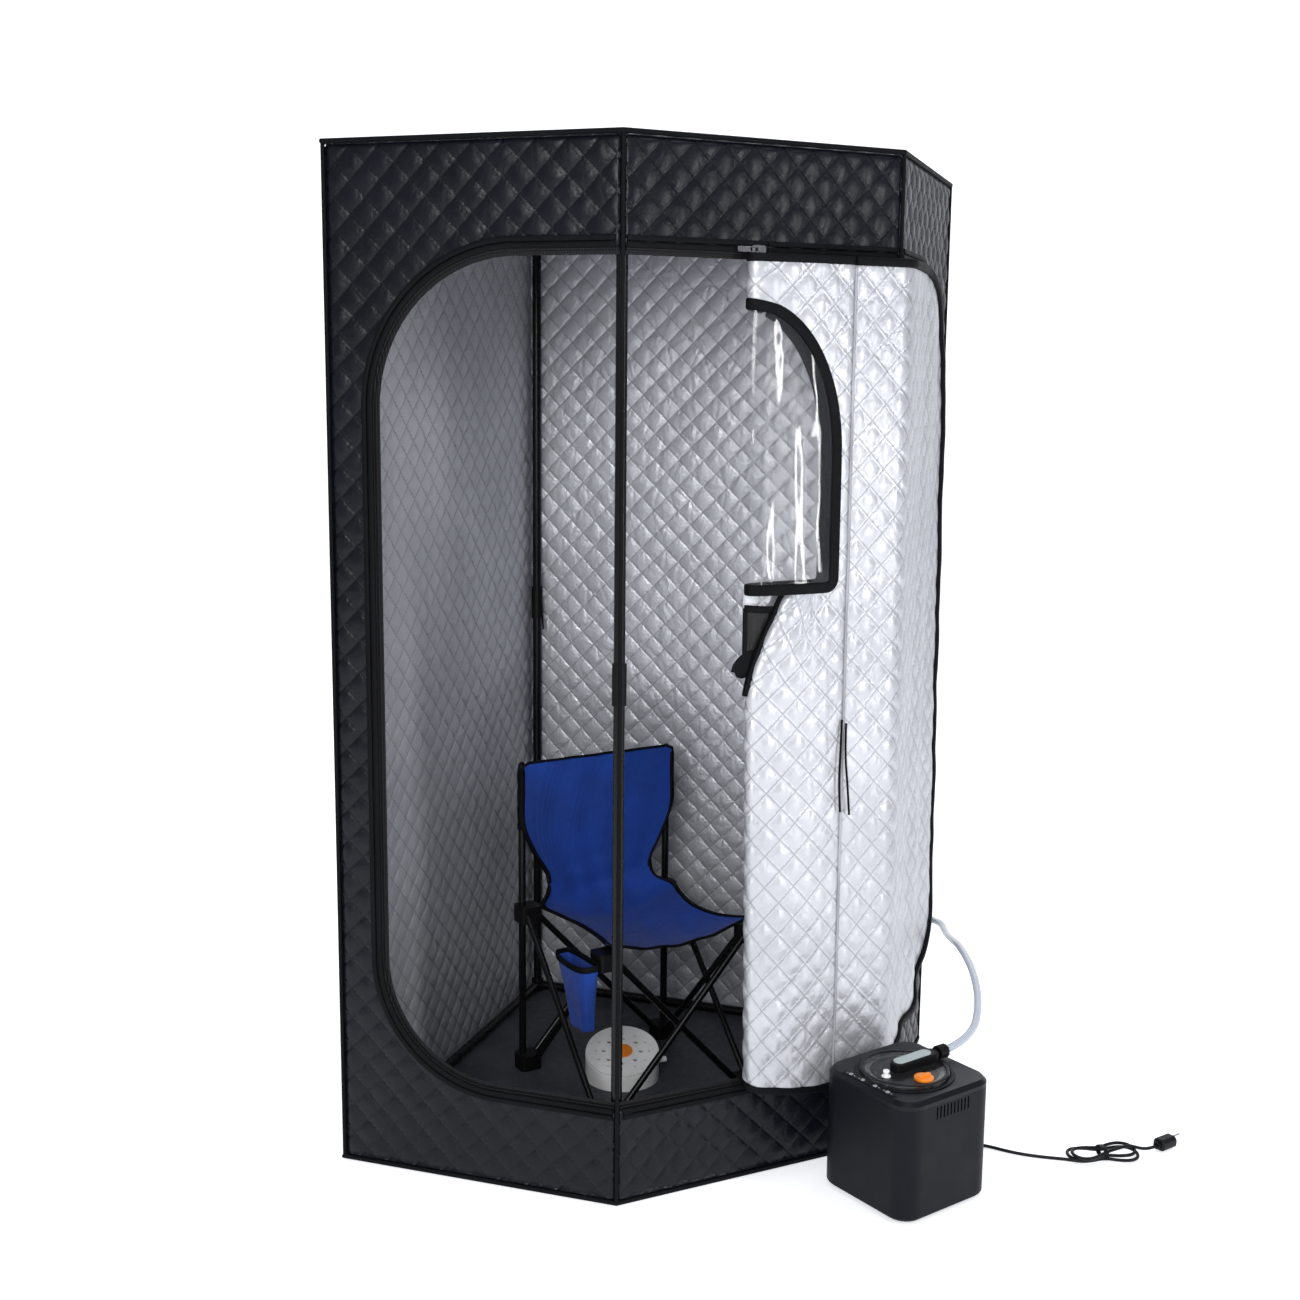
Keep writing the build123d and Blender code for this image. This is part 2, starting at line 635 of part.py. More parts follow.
# ---- write -----------------------------------------------------------------
NODES = {
    "wall_left": wall_left, "wall_right": wall_right, "front_side_panels": front_side_panels,
    "door_header": door_header, "door_sill": door_sill, "roof_panel": roof_panel,
    "floor_mat": floor_mat, "edge_piping": piping,
    "door_fixed_inner": door_fixed_inner, "door_fixed_wing": door_fixed_wing,
    "door_fold_strip": door_fold_strip, "door_flap_inner": door_flap_inner,
    "door_flap_wing": door_flap_wing, "door_skirt_inner": door_skirt_inner,
    "door_skirt_wing": door_skirt_wing,
    "window_pane_fixed": lambda: wall_frame(1) * (Pos(0, 0, -4) * window_pane(FRONT_HALF)),
    "window_binding_fixed": lambda: wall_frame(1) * (Pos(0, 0, -4) * window_binding(FRONT_HALF)),
    "window_pane_flap": lambda: FLAP * window_pane(0),
    "window_binding_flap": lambda: FLAP * window_binding(0),
    "door_pocket": door_pocket, "zip_tapes": zip_tapes, "zip_slider": zip_slider,
    "zip_pull": zip_pull, "hose_grommet": hose_grommet, "door_ties": door_ties, "post_tie": post_tie,
    "posts": posts, "post_couplers": post_couplers, "rails": rails,
    "corner_connectors": corner_connectors,
    "steamer_housing": steamer_housing, "steamer_base": steamer_base, "steamer_deck": steamer_deck,
    "inner_pot": inner_pot, "steamer_lid": steamer_lid, "lid_arm": lid_arm, "arm_cover": arm_cover,
    "relief_valve": relief_valve, "fill_cap": fill_cap, "hose_nut": hose_nut,
    "control_strip": control_strip,
    "panel_button_1": lambda: panel_button(0), "panel_button_2": lambda: panel_button(1),
    "panel_button_3": lambda: panel_button(2), "panel_button_4": lambda: panel_button(3),
    "steam_hose": steam_hose, "power_cord": power_cord, "power_cord_tail": power_cord_tail,
    "cord_hank": cord_hank, "plug": plug, "plug_pins": plug_pins,
    "pot_body": pot_body, "pot_lid": pot_lid,
    "chair_legs": chair_legs, "chair_uprights": chair_uprights, "chair_feet": chair_feet,
    "chair_brackets": chair_brackets, "chair_sling": chair_sling, "sling_sleeves": sling_sleeves,
    "chair_pocket": chair_pocket,
}

total = []
for name, make in NODES.items():
    shape = make()
    if isinstance(shape, list):
        shape = Compound(children=[Compound(children=list(s.solids())) if len(s.solids()) > 1
                                   else s.solids()[0] for s in shape])
    solids = shape.solids()
    print(f"{name}: {len(solids)} solid(s), {sum(s.volume for s in solids) / 1000:.1f} cm3")
    export_step(Compound(solids), f"parts/{name}.step")
    total.append(name)
print(len(total), "nodes")
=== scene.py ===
import math

import bpy
import numpy as np
from mathutils import Matrix, Vector


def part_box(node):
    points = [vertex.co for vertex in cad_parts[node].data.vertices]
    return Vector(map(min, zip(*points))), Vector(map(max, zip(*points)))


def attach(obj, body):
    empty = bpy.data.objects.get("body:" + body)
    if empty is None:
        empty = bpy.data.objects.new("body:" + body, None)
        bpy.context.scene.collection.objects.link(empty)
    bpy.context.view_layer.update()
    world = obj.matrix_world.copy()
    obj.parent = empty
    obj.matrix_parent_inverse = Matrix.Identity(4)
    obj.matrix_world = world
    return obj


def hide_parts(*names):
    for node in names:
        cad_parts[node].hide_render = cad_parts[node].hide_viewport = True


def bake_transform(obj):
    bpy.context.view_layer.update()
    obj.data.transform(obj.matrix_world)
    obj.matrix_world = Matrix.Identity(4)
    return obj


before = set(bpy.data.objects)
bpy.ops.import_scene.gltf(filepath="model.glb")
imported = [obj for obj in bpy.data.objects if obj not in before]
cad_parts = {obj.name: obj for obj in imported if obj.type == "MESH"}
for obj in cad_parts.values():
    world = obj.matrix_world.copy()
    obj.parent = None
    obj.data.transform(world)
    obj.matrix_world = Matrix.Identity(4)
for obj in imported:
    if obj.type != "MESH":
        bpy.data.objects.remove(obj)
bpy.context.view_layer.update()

# ---- sizes taken over from the frame's own design, metres --------------------
HALF = 0.9 / math.sqrt(2)
FRONT = 0.2636
YC = 0.5046
CORNERS = [(-HALF, YC - HALF), (-FRONT, -YC), (FRONT, -YC), (HALF, YC - HALF), (0.0, YC)]
TOP = 1.8
PITCH = 0.055                 # quilt diamonds, corner to corner
CELL = PITCH / 8
SILL_Z, HEADER_Z = 0.175, 1.620
OPEN_HALF = 3 * FRONT - 0.082
TOP_R, BOTTOM_R = 0.260, 0.220
FOLD_R = 0.015
FLAP_Y = -YC - 2 * FOLD_R
SEAM_X = 0.152
WIN = (0.121, 1.067, 1.292, 0.045, 0.166, 0.244)   # half width, low edge, shoulder, crown's middle and axes
Z_LOW, Z_TOP = 0.010, 1.790
WALL_GAP = 0.0045             # from a wall's cloth to its corner line
DOOR_GAP = 0.005              # from the door's cloth to the opening's outline
UPPER = (0.35, 1.25)          # the door's wing changes over this range of heights


# ---- materials ---------------------------------------------------------------
class Mat:
    """A principled material with small helpers for its node tree."""

    def __init__(self, name, color, rough=0.5, spec=0.5, **sockets):
        self.mat = bpy.data.materials.new(name)
        self.mat.use_nodes = True
        self.tree = self.mat.node_tree
        self.bsdf = self.tree.nodes["Principled BSDF"]
        self.bsdf.inputs["Base Color"].default_value = (*color, 1)
        self.bsdf.inputs["Roughness"].default_value = rough
        self.bsdf.inputs["Specular IOR Level"].default_value = spec
        for key, value in sockets.items():
            self.bsdf.inputs[key.replace("_", " ")].default_value = value
        self.height = None

    def node(self, kind, **values):
        n = self.tree.nodes.new(kind)
        for key, value in values.items():
            if hasattr(n, key):
                setattr(n, key, value)
            else:
                n.inputs[key.replace("_", " ")].default_value = value
        return n

    def link(self, a, b):
        self.tree.links.new(a, b)

    def math(self, op, a, b=None, c=None):
        n = self.tree.nodes.new("ShaderNodeMath")
        n.operation = op
        for i, v in enumerate((a, b, c)):
            if v is None:
                continue
            if isinstance(v, (int, float)):
                n.inputs[i].default_value = v
            else:
                self.link(v, n.inputs[i])
        return n.outputs[0]

    def object_coords(self, scale=(1, 1, 1)):
        c = self.node("ShaderNodeTexCoord")
        m = self.node("ShaderNodeMapping")
        m.inputs["Scale"].default_value = scale
        self.link(c.outputs["Object"], m.inputs["Vector"])
        return m.outputs["Vector"]

    def noise(self, scale, detail=2.0, stretch=(1, 1, 1), distortion=0.0):
        n = self.node("ShaderNodeTexNoise", Scale=scale, Detail=detail, Roughness=0.5, Distortion=distortion)
        self.link(self.object_coords(stretch), n.inputs["Vector"])
        return n.outputs["Fac"]

    def add_height(self, socket, amount):
        part = self.math("MULTIPLY", socket, amount)
        self.height = part if self.height is None else self.math("ADD", self.height, part)

    def mix_color(self, fac, a, b):
        n = self.node("ShaderNodeMix")
        n.data_type = "RGBA"
        self.link(fac, n.inputs["Factor"])
        for value, i in ((a, 6), (b, 7)):
            if isinstance(value, tuple):
                n.inputs[i].default_value = (*value, 1)
            else:
                self.link(value, n.inputs[i])
        return n.outputs[2]

    def ramp(self, socket, low, high, out_low=0.0, out_high=1.0):
        n = self.node("ShaderNodeMapRange")
        self.link(socket, n.inputs["Value"])
        n.inputs["From Min"].default_value = low
        n.inputs["From Max"].default_value = high
        n.inputs["To Min"].default_value = out_low
        n.inputs["To Max"].default_value = out_high
        return n.outputs["Result"]

    def color(self, socket):
        self.link(socket, self.bsdf.inputs["Base Color"])

    def rough(self, socket):
        self.link(socket, self.bsdf.inputs["Roughness"])

    def vary_color(self, scale, detail, a, b):
        self.color(self.mix_color(self.ramp(self.noise(scale, detail), 0.3, 0.7), a, b))

    def vary_rough(self, scale, detail, low, high, top=0.7):
        self.rough(self.ramp(self.noise(scale, detail), 0.3, top, low, high))

    def done(self):
        if self.height is not None:
            b = self.node("ShaderNodeBump", Strength=1.0, Distance=1.0)
            self.link(self.height, b.inputs["Height"])
            self.link(b.outputs["Normal"], self.bsdf.inputs["Normal"])
        return self.mat


def quilt_lines(m):
    """Distance, in metres, to the nearest of the two families of stitch lines, from the cloth's own UVs."""
    uv = m.node("ShaderNodeUVMap", uv_map="cloth")
    split = m.node("ShaderNodeSeparateXYZ")
    m.link(uv.outputs["UV"], split.inputs["Vector"])
    out = []
    for sign in ("ADD", "SUBTRACT"):
        d = m.math(sign, split.outputs["X"], split.outputs["Y"])
        f = m.math("FRACT", m.math("ADD", m.math("DIVIDE", d, PITCH), 0.5))
        out.append(m.math("MULTIPLY", m.math("ABSOLUTE", m.math("SUBTRACT", f, 0.5)), PITCH * 0.7071))
    return m.math("MINIMUM", out[0], out[1])


def quilt_material(name, base, shade, rough, crinkle, **sockets):
    m = Mat(name, base, rough, **sockets)
    line = quilt_lines(m)
    groove = m.ramp(line, 0.0, 0.0045)
    blotch = m.noise(5.0, 3.0)
    lit = m.mix_color(m.ramp(blotch, 0.35, 0.7), shade, base)
    # painted shade: the colour is darkened along the stitch grooves, to 0.72 of the shade tone
    m.color(m.mix_color(m.ramp(line, 0.0005, 0.0016), tuple(0.72 * c for c in shade), lit))
    m.vary_rough(38.0, 3.0, rough - 0.07, rough + 0.1, 0.75)
    m.add_height(groove, 0.0009)
    pucker = m.math("MULTIPLY", m.noise(95.0, 3.0, distortion=0.4), m.ramp(line, 0.0, 0.015, 1.0, 0.12))
    m.add_height(pucker, crinkle * 1.25)
    crease = m.node("ShaderNodeTexVoronoi", Scale=23.0)
    crease.feature = "DISTANCE_TO_EDGE"
    m.link(m.object_coords((1.0, 1.0, 0.7)), crease.inputs["Vector"])
    m.add_height(m.math("MINIMUM", crease.outputs["Distance"], 0.16), crinkle * 2.2)
    m.add_height(m.noise(30.0, 3.0, distortion=1.0), crinkle * 0.6)
    return m.done()


def weave_material(name, base, rough, pitch=0.0011, depth=0.00012, wrinkle=0.0006, **sockets):
    m = Mat(name, base, rough, **sockets)
    for axis in ("X", "Y", "Z"):
        w = m.node("ShaderNodeTexWave", bands_direction=axis, Scale=1 / pitch / 20 * 6.2832 / 2)
        m.link(m.object_coords(), w.inputs["Vector"])
        m.add_height(w.outputs["Fac"], depth)
    m.add_height(m.noise(45.0, 3.0, distortion=0.8), wrinkle)
    m.vary_color(9.0, 4.0, tuple(0.72 * c for c in base), tuple(min(1, 1.2 * c) for c in base))
    m.vary_rough(70.0, 2.0, rough - 0.06, rough + 0.06)
    return m.done()


def plastic_material(name, base, rough, grain=0.00006, scale=900.0, **sockets):
    m = Mat(name, base, rough, **sockets)
    m.add_height(m.noise(scale, 2.0), grain)
    m.vary_color(14.0, 3.0, tuple(0.9 * c for c in base), tuple(min(1, 1.06 * c) for c in base))
    m.vary_rough(26.0, 4.0, rough - 0.04, rough + 0.07)
    return m.done()


def mesh_material(name, base):
    m = Mat(name, base, 0.6)
    uv = m.node("ShaderNodeUVMap", uv_map="cloth")
    v = m.node("ShaderNodeTexVoronoi", Scale=420.0)
    v.feature = "DISTANCE_TO_EDGE"
    m.link(uv.outputs["UV"], v.inputs["Vector"])
    holes = m.ramp(v.outputs["Distance"], 0.10, 0.16)
    alpha = m.math("SUBTRACT", 1.0, m.math("MULTIPLY", holes, 0.8))
    m.link(alpha, m.bsdf.inputs["Alpha"])
    m.add_height(v.outputs["Distance"], -0.0004)
    return m.done()


SILVER = quilt_material("silver_quilt", (0.56, 0.57, 0.605), (0.47, 0.48, 0.515), 0.43, 0.0017,
                        Metallic=0.50, spec=0.5)
BLACK = quilt_material("black_quilt", (0.0046, 0.0052, 0.0098), (0.0024, 0.0028, 0.0056), 0.36, 0.0010,
                       spec=0.22)
BINDING = weave_material("black_binding", (0.0030, 0.0033, 0.0042), 0.60, 0.0014, 0.00012, 0.0002, spec=0.09)
# darker silver for the seam strip on the door: painted shade of the seam's valley
SEAM_SHADE_SILVER = weave_material("silver_seam_painted_shade", (0.36, 0.37, 0.40), 0.50, 0.0014, 0.0001, 0.0004,
                              Metallic=0.30)
MAT_CLOTH = weave_material("floor_cloth", (0.046, 0.049, 0.060), 0.50, 0.0013, 0.0001, 0.0012, spec=0.35)
BLUE = weave_material("blue_cloth", (0.003, 0.042, 0.29), 0.66, 0.0010, 0.00022, 0.0006,
                      Sheen_Weight=0.08, Sheen_Roughness=0.5, spec=0.35)
TUBE = plastic_material("black_tube", (0.0035, 0.0036, 0.0042), 0.27, 0.00002, 700.0, spec=0.22)
HARD_BLACK = plastic_material("black_plastic", (0.0045, 0.0046, 0.0052), 0.42, spec=0.13)
STEAMER = plastic_material("steamer_plastic", (0.0046, 0.0050, 0.0085), 0.44, 0.00005, 1100.0, spec=0.13)
STEAMER_DECK = plastic_material("steamer_deck", (0.0046, 0.0050, 0.0085), 0.36, 0.00005, 1100.0, spec=0.20)
WHITE = plastic_material("white_plastic", (0.90, 0.90, 0.89), 0.32, 0.00003, 500.0, Coat_Weight=0.2,
                         Coat_Roughness=0.2)
ORANGE = plastic_material("orange_plastic", (0.93, 0.26, 0.012), 0.38, 0.00003)
PALE = plastic_material("pale_cover", (0.40, 0.47, 0.475), 0.38, 0.00003)
GREY_KEY = plastic_material("key_grey", (0.30, 0.32, 0.35), 0.45, 0.00003)
RUBBER = plastic_material("cord_rubber", (0.0045, 0.0045, 0.0052), 0.45, 0.00006, 600.0, spec=0.18)
ZIP = weave_material("zip_tape", (0.0035, 0.0035, 0.0045), 0.6, 0.0018, 0.0003, 0.0001, spec=0.25)
METAL = plastic_material("zip_metal", (0.045, 0.045, 0.05), 0.34, 0.00003, 500.0, Metallic=0.7)
STEEL = plastic_material("steel", (0.58, 0.58, 0.60), 0.28, 0.00002, 400.0, Metallic=1.0)
CHROME = plastic_material("chrome", (0.75, 0.75, 0.77), 0.16, 0.00001, 400.0, Metallic=1.0)
MESH = mesh_material("mesh_cloth", (0.007, 0.007, 0.008))


def smoky_material():
    m = Mat("smoke_lid", (0.030, 0.030, 0.031), 0.10, Alpha=0.34, Coat_Weight=0.6, Coat_Roughness=0.05)
    m.vary_rough(18.0, 3.0, 0.08, 0.2)
    m.add_height(m.noise(160.0, 2.0), 0.00006)
    return m.done()


def window_material(name, alpha, ior):
    m = Mat(name, (0.25, 0.26, 0.29), 0.03, Alpha=alpha, spec=1.0, IOR=ior, Coat_Weight=1.0,
            Coat_Roughness=0.02, Coat_IOR=1.8)
    m.add_height(m.noise(7.0, 2.0, stretch=(1, 1, 0.4), distortion=1.2), 0.006)
    m.vary_rough(12.0, 2.0, 0.03, 0.07)
    return m.done()


def hose_material():
    m = Mat("milky_hose", (0.50, 0.55, 0.64), 0.26, Alpha=0.86, Coat_Weight=0.3, Coat_Roughness=0.12)
    m.add_height(m.noise(120.0, 2.0), 0.0001)
    m.vary_color(8.0, 2.0, (0.44, 0.49, 0.58), (0.56, 0.60, 0.68))
    return m.done()


SMOKE = smoky_material()
CLEAR = window_material("clear_window", 0.05, 2.2)
CLEAR_BACK = window_material("clear_window_back", 0.02, 1.35)
HOSE = hose_material()


# ---- mesh helpers --------------------------------------------------------------
def add_object(name, data):
    obj = bpy.data.objects.new(name, data)
    bpy.context.scene.collection.objects.link(obj)
    return obj


def new_piece(name, verts, faces, mats, body, slot, index=None, uvs=None):
    mesh = bpy.data.meshes.new(name)
    mesh.from_pydata([tuple(map(float, v)) for v in verts], [], [tuple(map(int, f)) for f in faces])
    for m in mats:
        mesh.materials.append(m)
    if index is not None:
        mesh.polygons.foreach_set("material_index", np.asarray(index, dtype=np.int32))
    if uvs is not None:
        layer = mesh.uv_layers.new(name="cloth")
        loops = np.empty(len(mesh.loops), dtype=np.int32)
        mesh.loops.foreach_get("vertex_index", loops)
        layer.data.foreach_set("uv", np.asarray(uvs, dtype=np.float32)[loops].ravel())
    mesh.polygons.foreach_set("use_smooth", [True] * len(mesh.polygons))
    mesh.update()
    obj = add_object(name, mesh)
    if body:
        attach(obj, body)
    return obj


def ring_faces(rings, ring, closed=False):
    """Quads from each ring of points to the next, capped at both ends unless the last meets the first."""
    faces = []
    for i in range(rings if closed else rings - 1):
        j = (i + 1) % rings
        for k in range(ring):
            l = (k + 1) % ring
            faces.append((i * ring + k, i * ring + l, j * ring + l, j * ring + k))
    if not closed:
        faces += [tuple(reversed(range(ring))), tuple((rings - 1) * ring + k for k in range(ring))]
    return faces


def unit(v):
    return v / np.linalg.norm(v, axis=-1, keepdims=True)


def around(n):
    """Cosine and sine of n even steps round a circle."""
    return [(math.cos(2 * math.pi * k / n), math.sin(2 * math.pi * k / n)) for k in range(n)]


def sd_box(p, x0, x1, z0, z1):
    q = np.stack([np.abs(p[..., 0] - (x0 + x1) / 2) - (x1 - x0) / 2,
                  np.abs(p[..., 1] - (z0 + z1) / 2) - (z1 - z0) / 2], -1)
    return np.linalg.norm(np.maximum(q, 0), axis=-1) + np.minimum(q.max(-1), 0)


def sd_round(p, half, z0, z1, r_top, r_low):
    """Signed distance to an upright rounded rectangle centred on x = 0."""
    r = np.where(p[..., 1] > (z0 + z1) / 2, r_top, r_low)
    q = np.stack([np.abs(p[..., 0]) - half + r, np.abs(p[..., 1] - (z0 + z1) / 2) - (z1 - z0) / 2 + r], -1)
    return np.linalg.norm(np.maximum(q, 0), axis=-1) + np.minimum(q.max(-1), 0) - r


def sd_arch(p, grow=0.0):
    return sd_round(p, OPEN_HALF + grow, SILL_Z - grow, HEADER_Z + grow, TOP_R + grow, BOTTOM_R + grow)


def sd_window(p, grow=0.0):
    half, z0, shoulder, mid, rx, ry = WIN
    u = np.abs(p[..., 0] + mid)
    low = sd_round(np.stack([np.maximum(u - mid, 0), p[..., 1]], -1), half + grow, z0 - grow, 2.4, 0.01,
                   0.014 + grow)
    z = p[..., 1] - shoulder
    k0 = np.sqrt((u / (rx + grow)) ** 2 + (z / (ry + grow)) ** 2) + 1e-9
    k1 = np.sqrt((u / (rx + grow) ** 2) ** 2 + (z / (ry + grow) ** 2) ** 2) + 1e-9
    return np.where(z > 0, k0 * (k0 - 1) / k1, low)


def snapped_grid(sdf, u0, u1, z0, z1, cell=CELL):
    """A square grid of cloth cells whose edge vertices are pulled onto the outline."""
    us = np.arange(math.floor(u0 / cell) - 1, math.ceil(u1 / cell) + 2) * cell
    zs = np.arange(math.floor(z0 / cell) - 1, math.ceil(z1 / cell) + 2) * cell
    p = np.stack(np.meshgrid(us, zs, indexing="ij"), -1)
    for _ in range(2):
        d = sdf(p)
        h = 1e-4
        g = np.stack([(sdf(p + [h, 0]) - sdf(p - [h, 0])) / (2 * h),
                      (sdf(p + [0, h]) - sdf(p - [0, h])) / (2 * h)], -1)
        near = (np.abs(d) < 0.62 * cell) & (np.abs(d) > 1e-7)
        size = np.maximum((g * g).sum(-1), 0.25)[..., None]
        p = np.where(near[..., None], p - d[..., None] * g / size, p)
    inside = sdf(p) < 1e-5
    nu, nz = len(us), len(zs)
    ids = np.arange(nu * nz).reshape(nu, nz)
    corners = [ids[:-1, :-1], ids[1:, :-1], ids[1:, 1:], ids[:-1, 1:]]
    flags = [inside[:-1, :-1], inside[1:, :-1], inside[1:, 1:], inside[:-1, 1:]]
    count = sum(f.astype(int) for f in flags)
    faces = [tuple(q) for q in np.stack([c[count == 4] for c in corners], -1)]
    for quad, mask in zip(np.stack([c[count == 3] for c in corners], -1),
                          np.stack([f[count == 3] for f in flags], -1)):
        faces.append(tuple(quad[mask]))
    used = sorted({i for f in faces for i in f})
    remap = {v: k for k, v in enumerate(used)}
    return p.reshape(-1, 2)[used], [tuple(remap[i] for i in f) for f in faces]


def boundary(faces):
    edges = {}
    for f in faces:
        for a, b in zip(f, f[1:] + f[:1]):
            if (b, a) in edges:
                del edges[(b, a)]
            else:
                edges[(a, b)] = True
    return list(edges)


def puff(p):
    """Rounded pillow between the stitch lines, 0 to 1."""
    a = np.abs(np.sin(np.pi * (p[:, 0] + p[:, 1]) / PITCH))
    b = np.abs(np.sin(np.pi * (p[:, 0] - p[:, 1]) / PITCH))
    return (a * b) ** 0.45


WAVES = np.random.default_rng(7).uniform(-1, 1, (14, 4))


def waves(p, size, seed=0.0):
    """Slow, even waviness made of a few crossing sines, about -1 to 1."""
    out = np.zeros(len(p))
    for k, (a, b, c, d) in enumerate(WAVES):
        f = (1 + 0.22 * k) / size
        phase = 2 * np.pi * f * (a * p[:, 0] + b * p[:, 1]) + 9 * c + seed
        out += math.cos(3 * d) * np.sin(phase) / (1 + 0.25 * k)
    return out / 4.0


def clamp(k):
    return np.clip(k, 0.0, 1.0)


def smooth(k):
    k = clamp(k)
    return k * k * (3 - 2 * k)


def fold_mask(d, lo, hi):
    return smooth((d - lo) / (hi - lo))


def shell(name, pts, faces, place, out_lift, in_lift, body, replaces, outer=BLACK, inner=SILVER, slot="quilt"):
    """Two quilted faces and the cut edge between them, as one closed sheet of cloth."""
    n = len(pts)
    verts = np.concatenate([place(pts, out_lift), place(pts, in_lift)])
    allf = list(faces) + [tuple(n + i for i in reversed(f)) for f in faces]
    index = [0] * len(faces) + [1] * len(faces)
    for a, b in boundary(faces):
        allf.append((b, a, n + a, n + b))
        index.append(0)
    obj = new_piece(name, verts, allf, [outer, inner], body, slot, index, np.concatenate([pts, pts]))
    if replaces:
        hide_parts(*replaces)
    return obj


def flat_area(pts, faces):
    total = 0.0
    for f in faces:
        q = pts[list(f)]
        x, y = q[:, 0], q[:, 1]
        total += 0.5 * abs(np.dot(x, np.roll(y, -1)) - np.dot(y, np.roll(x, -1)))
    return float(total)


def sheet(obj, pts, faces, held="stretched", **more):
    w = float(np.ptp(pts[:, 0]))
    h = float(np.ptp(pts[:, 1]))
    flat_area(pts, faces)


def ribbon(name, points, across, out, width, thick, mat=BINDING, body="tent", slot="black_fabric",
           closed=False):
    """A narrow band of binding swept along points; across and out are its two axes at each point."""
    prof = []
    for k in range(12):
        a = 2 * math.pi * (k + 0.5) / 12
        cx, cy = math.cos(a), math.sin(a)
        prof.append((math.copysign(abs(cx) ** 0.35, cx), math.copysign(abs(cy) ** 0.8, cy)))
    verts = []
    for p, s, o in zip(points, across, out):
        for a, b in prof:
            verts.append([p[i] + s[i] * a * width / 2 + o[i] * b * thick / 2 for i in range(3)])
    return new_piece(name, verts, ring_faces(len(points), len(prof), closed), [mat], body, slot)


# ---- walls ---------------------------------------------------------------------
WALL_LEN = [math.dist(CORNERS[i], CORNERS[(i + 1) % 5]) for i in range(5)]
WALL_U = [-3 * FRONT, -FRONT, FRONT, 3 * FRONT, 3 * FRONT + 0.9]


def wall_axes(i):
    a, b = CORNERS[i], CORNERS[(i + 1) % 5]
    d = ((b[0] - a[0]) / WALL_LEN[i], (b[1] - a[1]) / WALL_LEN[i])
    return np.array(a), np.array(d), np.array((d[1], -d[0]))


def on_wall(i, p, lift):
    a, d, n = wall_axes(i)
    s = p[:, 0] - WALL_U[i]
    xy = a + s[:, None] * d + np.asarray(lift)[:, None] * n
    return np.column_stack([xy, p[:, 1]])


def slack(p, i):
    """How far each point hangs in from its wall's plane: nothing at the edges, most in the middle."""
    s = (p[:, 0] - WALL_U[i]) / WALL_LEN[i]
    z = (p[:, 1] - Z_LOW) / (Z_TOP - Z_LOW)
    edge = smooth(np.minimum(np.minimum(s, 1 - s) * 9, np.minimum(z, 1 - z) * 14))
    return edge * (0.0022 + 0.0042 * waves(p, 0.55, i) + 0.0014 * waves(p, 0.16, 3 + i))


def wall(name, i, sdf, replaces):
    u0, u1 = WALL_U[i], WALL_U[i] + WALL_LEN[i]
    pts, faces = snapped_grid(sdf, u0, u1, Z_LOW, Z_TOP)
    edge = clamp(-sdf(pts) / 0.012)
    relief = puff(pts) * (0.25 + 0.75 * edge)
    hang = slack(pts, i)
    obj = shell(name, pts, faces, lambda p, l: on_wall(i, p, l), -0.0012 + 0.0046 * relief - hang,
                -0.0028 - 0.0042 * relief - hang, "tent", replaces)
    sheet(obj, pts, faces)


def wall_sdf(i, z0=Z_LOW, z1=Z_TOP, arch=False, hole=None):
    u0, u1 = WALL_U[i] + WALL_GAP, WALL_U[i] + WALL_LEN[i] - WALL_GAP

    def f(p):
        d = sd_box(p, u0, u1, z0, z1)
        if arch:
            d = np.maximum(d, -sd_arch(p))
        if hole is not None:
            d = np.maximum(d, hole[2] - np.linalg.norm(p - np.array(hole[:2]), axis=-1))
        return d
    return f


def make_walls():
    wall("cloth_wall_left", 4, wall_sdf(4), ["wall_left"])
    wall("cloth_wall_right", 3, wall_sdf(3, hole=(WALL_U[3] + 0.1236, 0.240, 0.0165)), ["wall_right"])
    wall("cloth_front_left", 0, wall_sdf(0, arch=True), ["front_side_panels"])
    wall("cloth_front_right", 2, wall_sdf(2, arch=True), ["front_side_panels"])
    wall("cloth_header", 1, wall_sdf(1, z0=HEADER_Z), ["door_header"])
    wall("cloth_sill", 1, wall_sdf(1, z1=SILL_Z), ["door_sill"])


def polygon_sdf(points):
    def f(p):
        d = None
        for a, b in zip(points, points[1:] + points[:1]):
            l = math.dist(a, b)
            n = ((b[1] - a[1]) / l, -(b[0] - a[0]) / l)
            e = (p[..., 0] - a[0]) * n[0] + (p[..., 1] - a[1]) * n[1]
            d = e if d is None else np.maximum(d, e)
        return d
    return f


def plan(inset):
    out = []
    for i in range(5):
        n1, n2 = wall_axes(i - 1)[2], wall_axes(i)[2]
        k = inset / (1 + float(n1 @ n2))
        out.append((CORNERS[i][0] - k * (n1[0] + n2[0]), CORNERS[i][1] - k * (n1[1] + n2[1])))
    return out


def make_roof_and_floor():
    sdf = polygon_sdf(plan(0.006))
    pts, faces = snapped_grid(sdf, -0.64, 0.64, -0.51, 0.51)
    depth = np.clip(-sdf(pts), 0, 0.3)
    sag = 0.012 * (1 - np.exp(-depth / 0.10)) + 0.0035 * waves(pts, 0.5, 2) * clamp(depth / 0.05)
    relief = puff(pts) * np.clip(depth / 0.012, 0.2, 1)

    def flat(p, lift):
        return np.column_stack([p, lift])

    roof = shell("cloth_roof", pts, faces, flat, TOP - 0.003 + 0.0026 * relief - sag,
                 TOP - 0.006 - 0.0026 * relief - sag, "tent", ["roof_panel"])
    sheet(roof, pts, faces)
    crease = 0.0018 * np.abs(waves(pts, 0.33, 5)) ** 1.5 + 0.0007 * (1 + waves(pts, 0.10, 8))
    crease *= clamp(depth / 0.03)
    mat = shell("cloth_floor", pts, faces, flat, 0.0042 + crease, np.full_like(crease, 0.0004), "tent",
                ["floor_mat"], MAT_CLOTH, MAT_CLOTH, "floor_cloth")
    sheet(mat, pts, faces, held="laid")


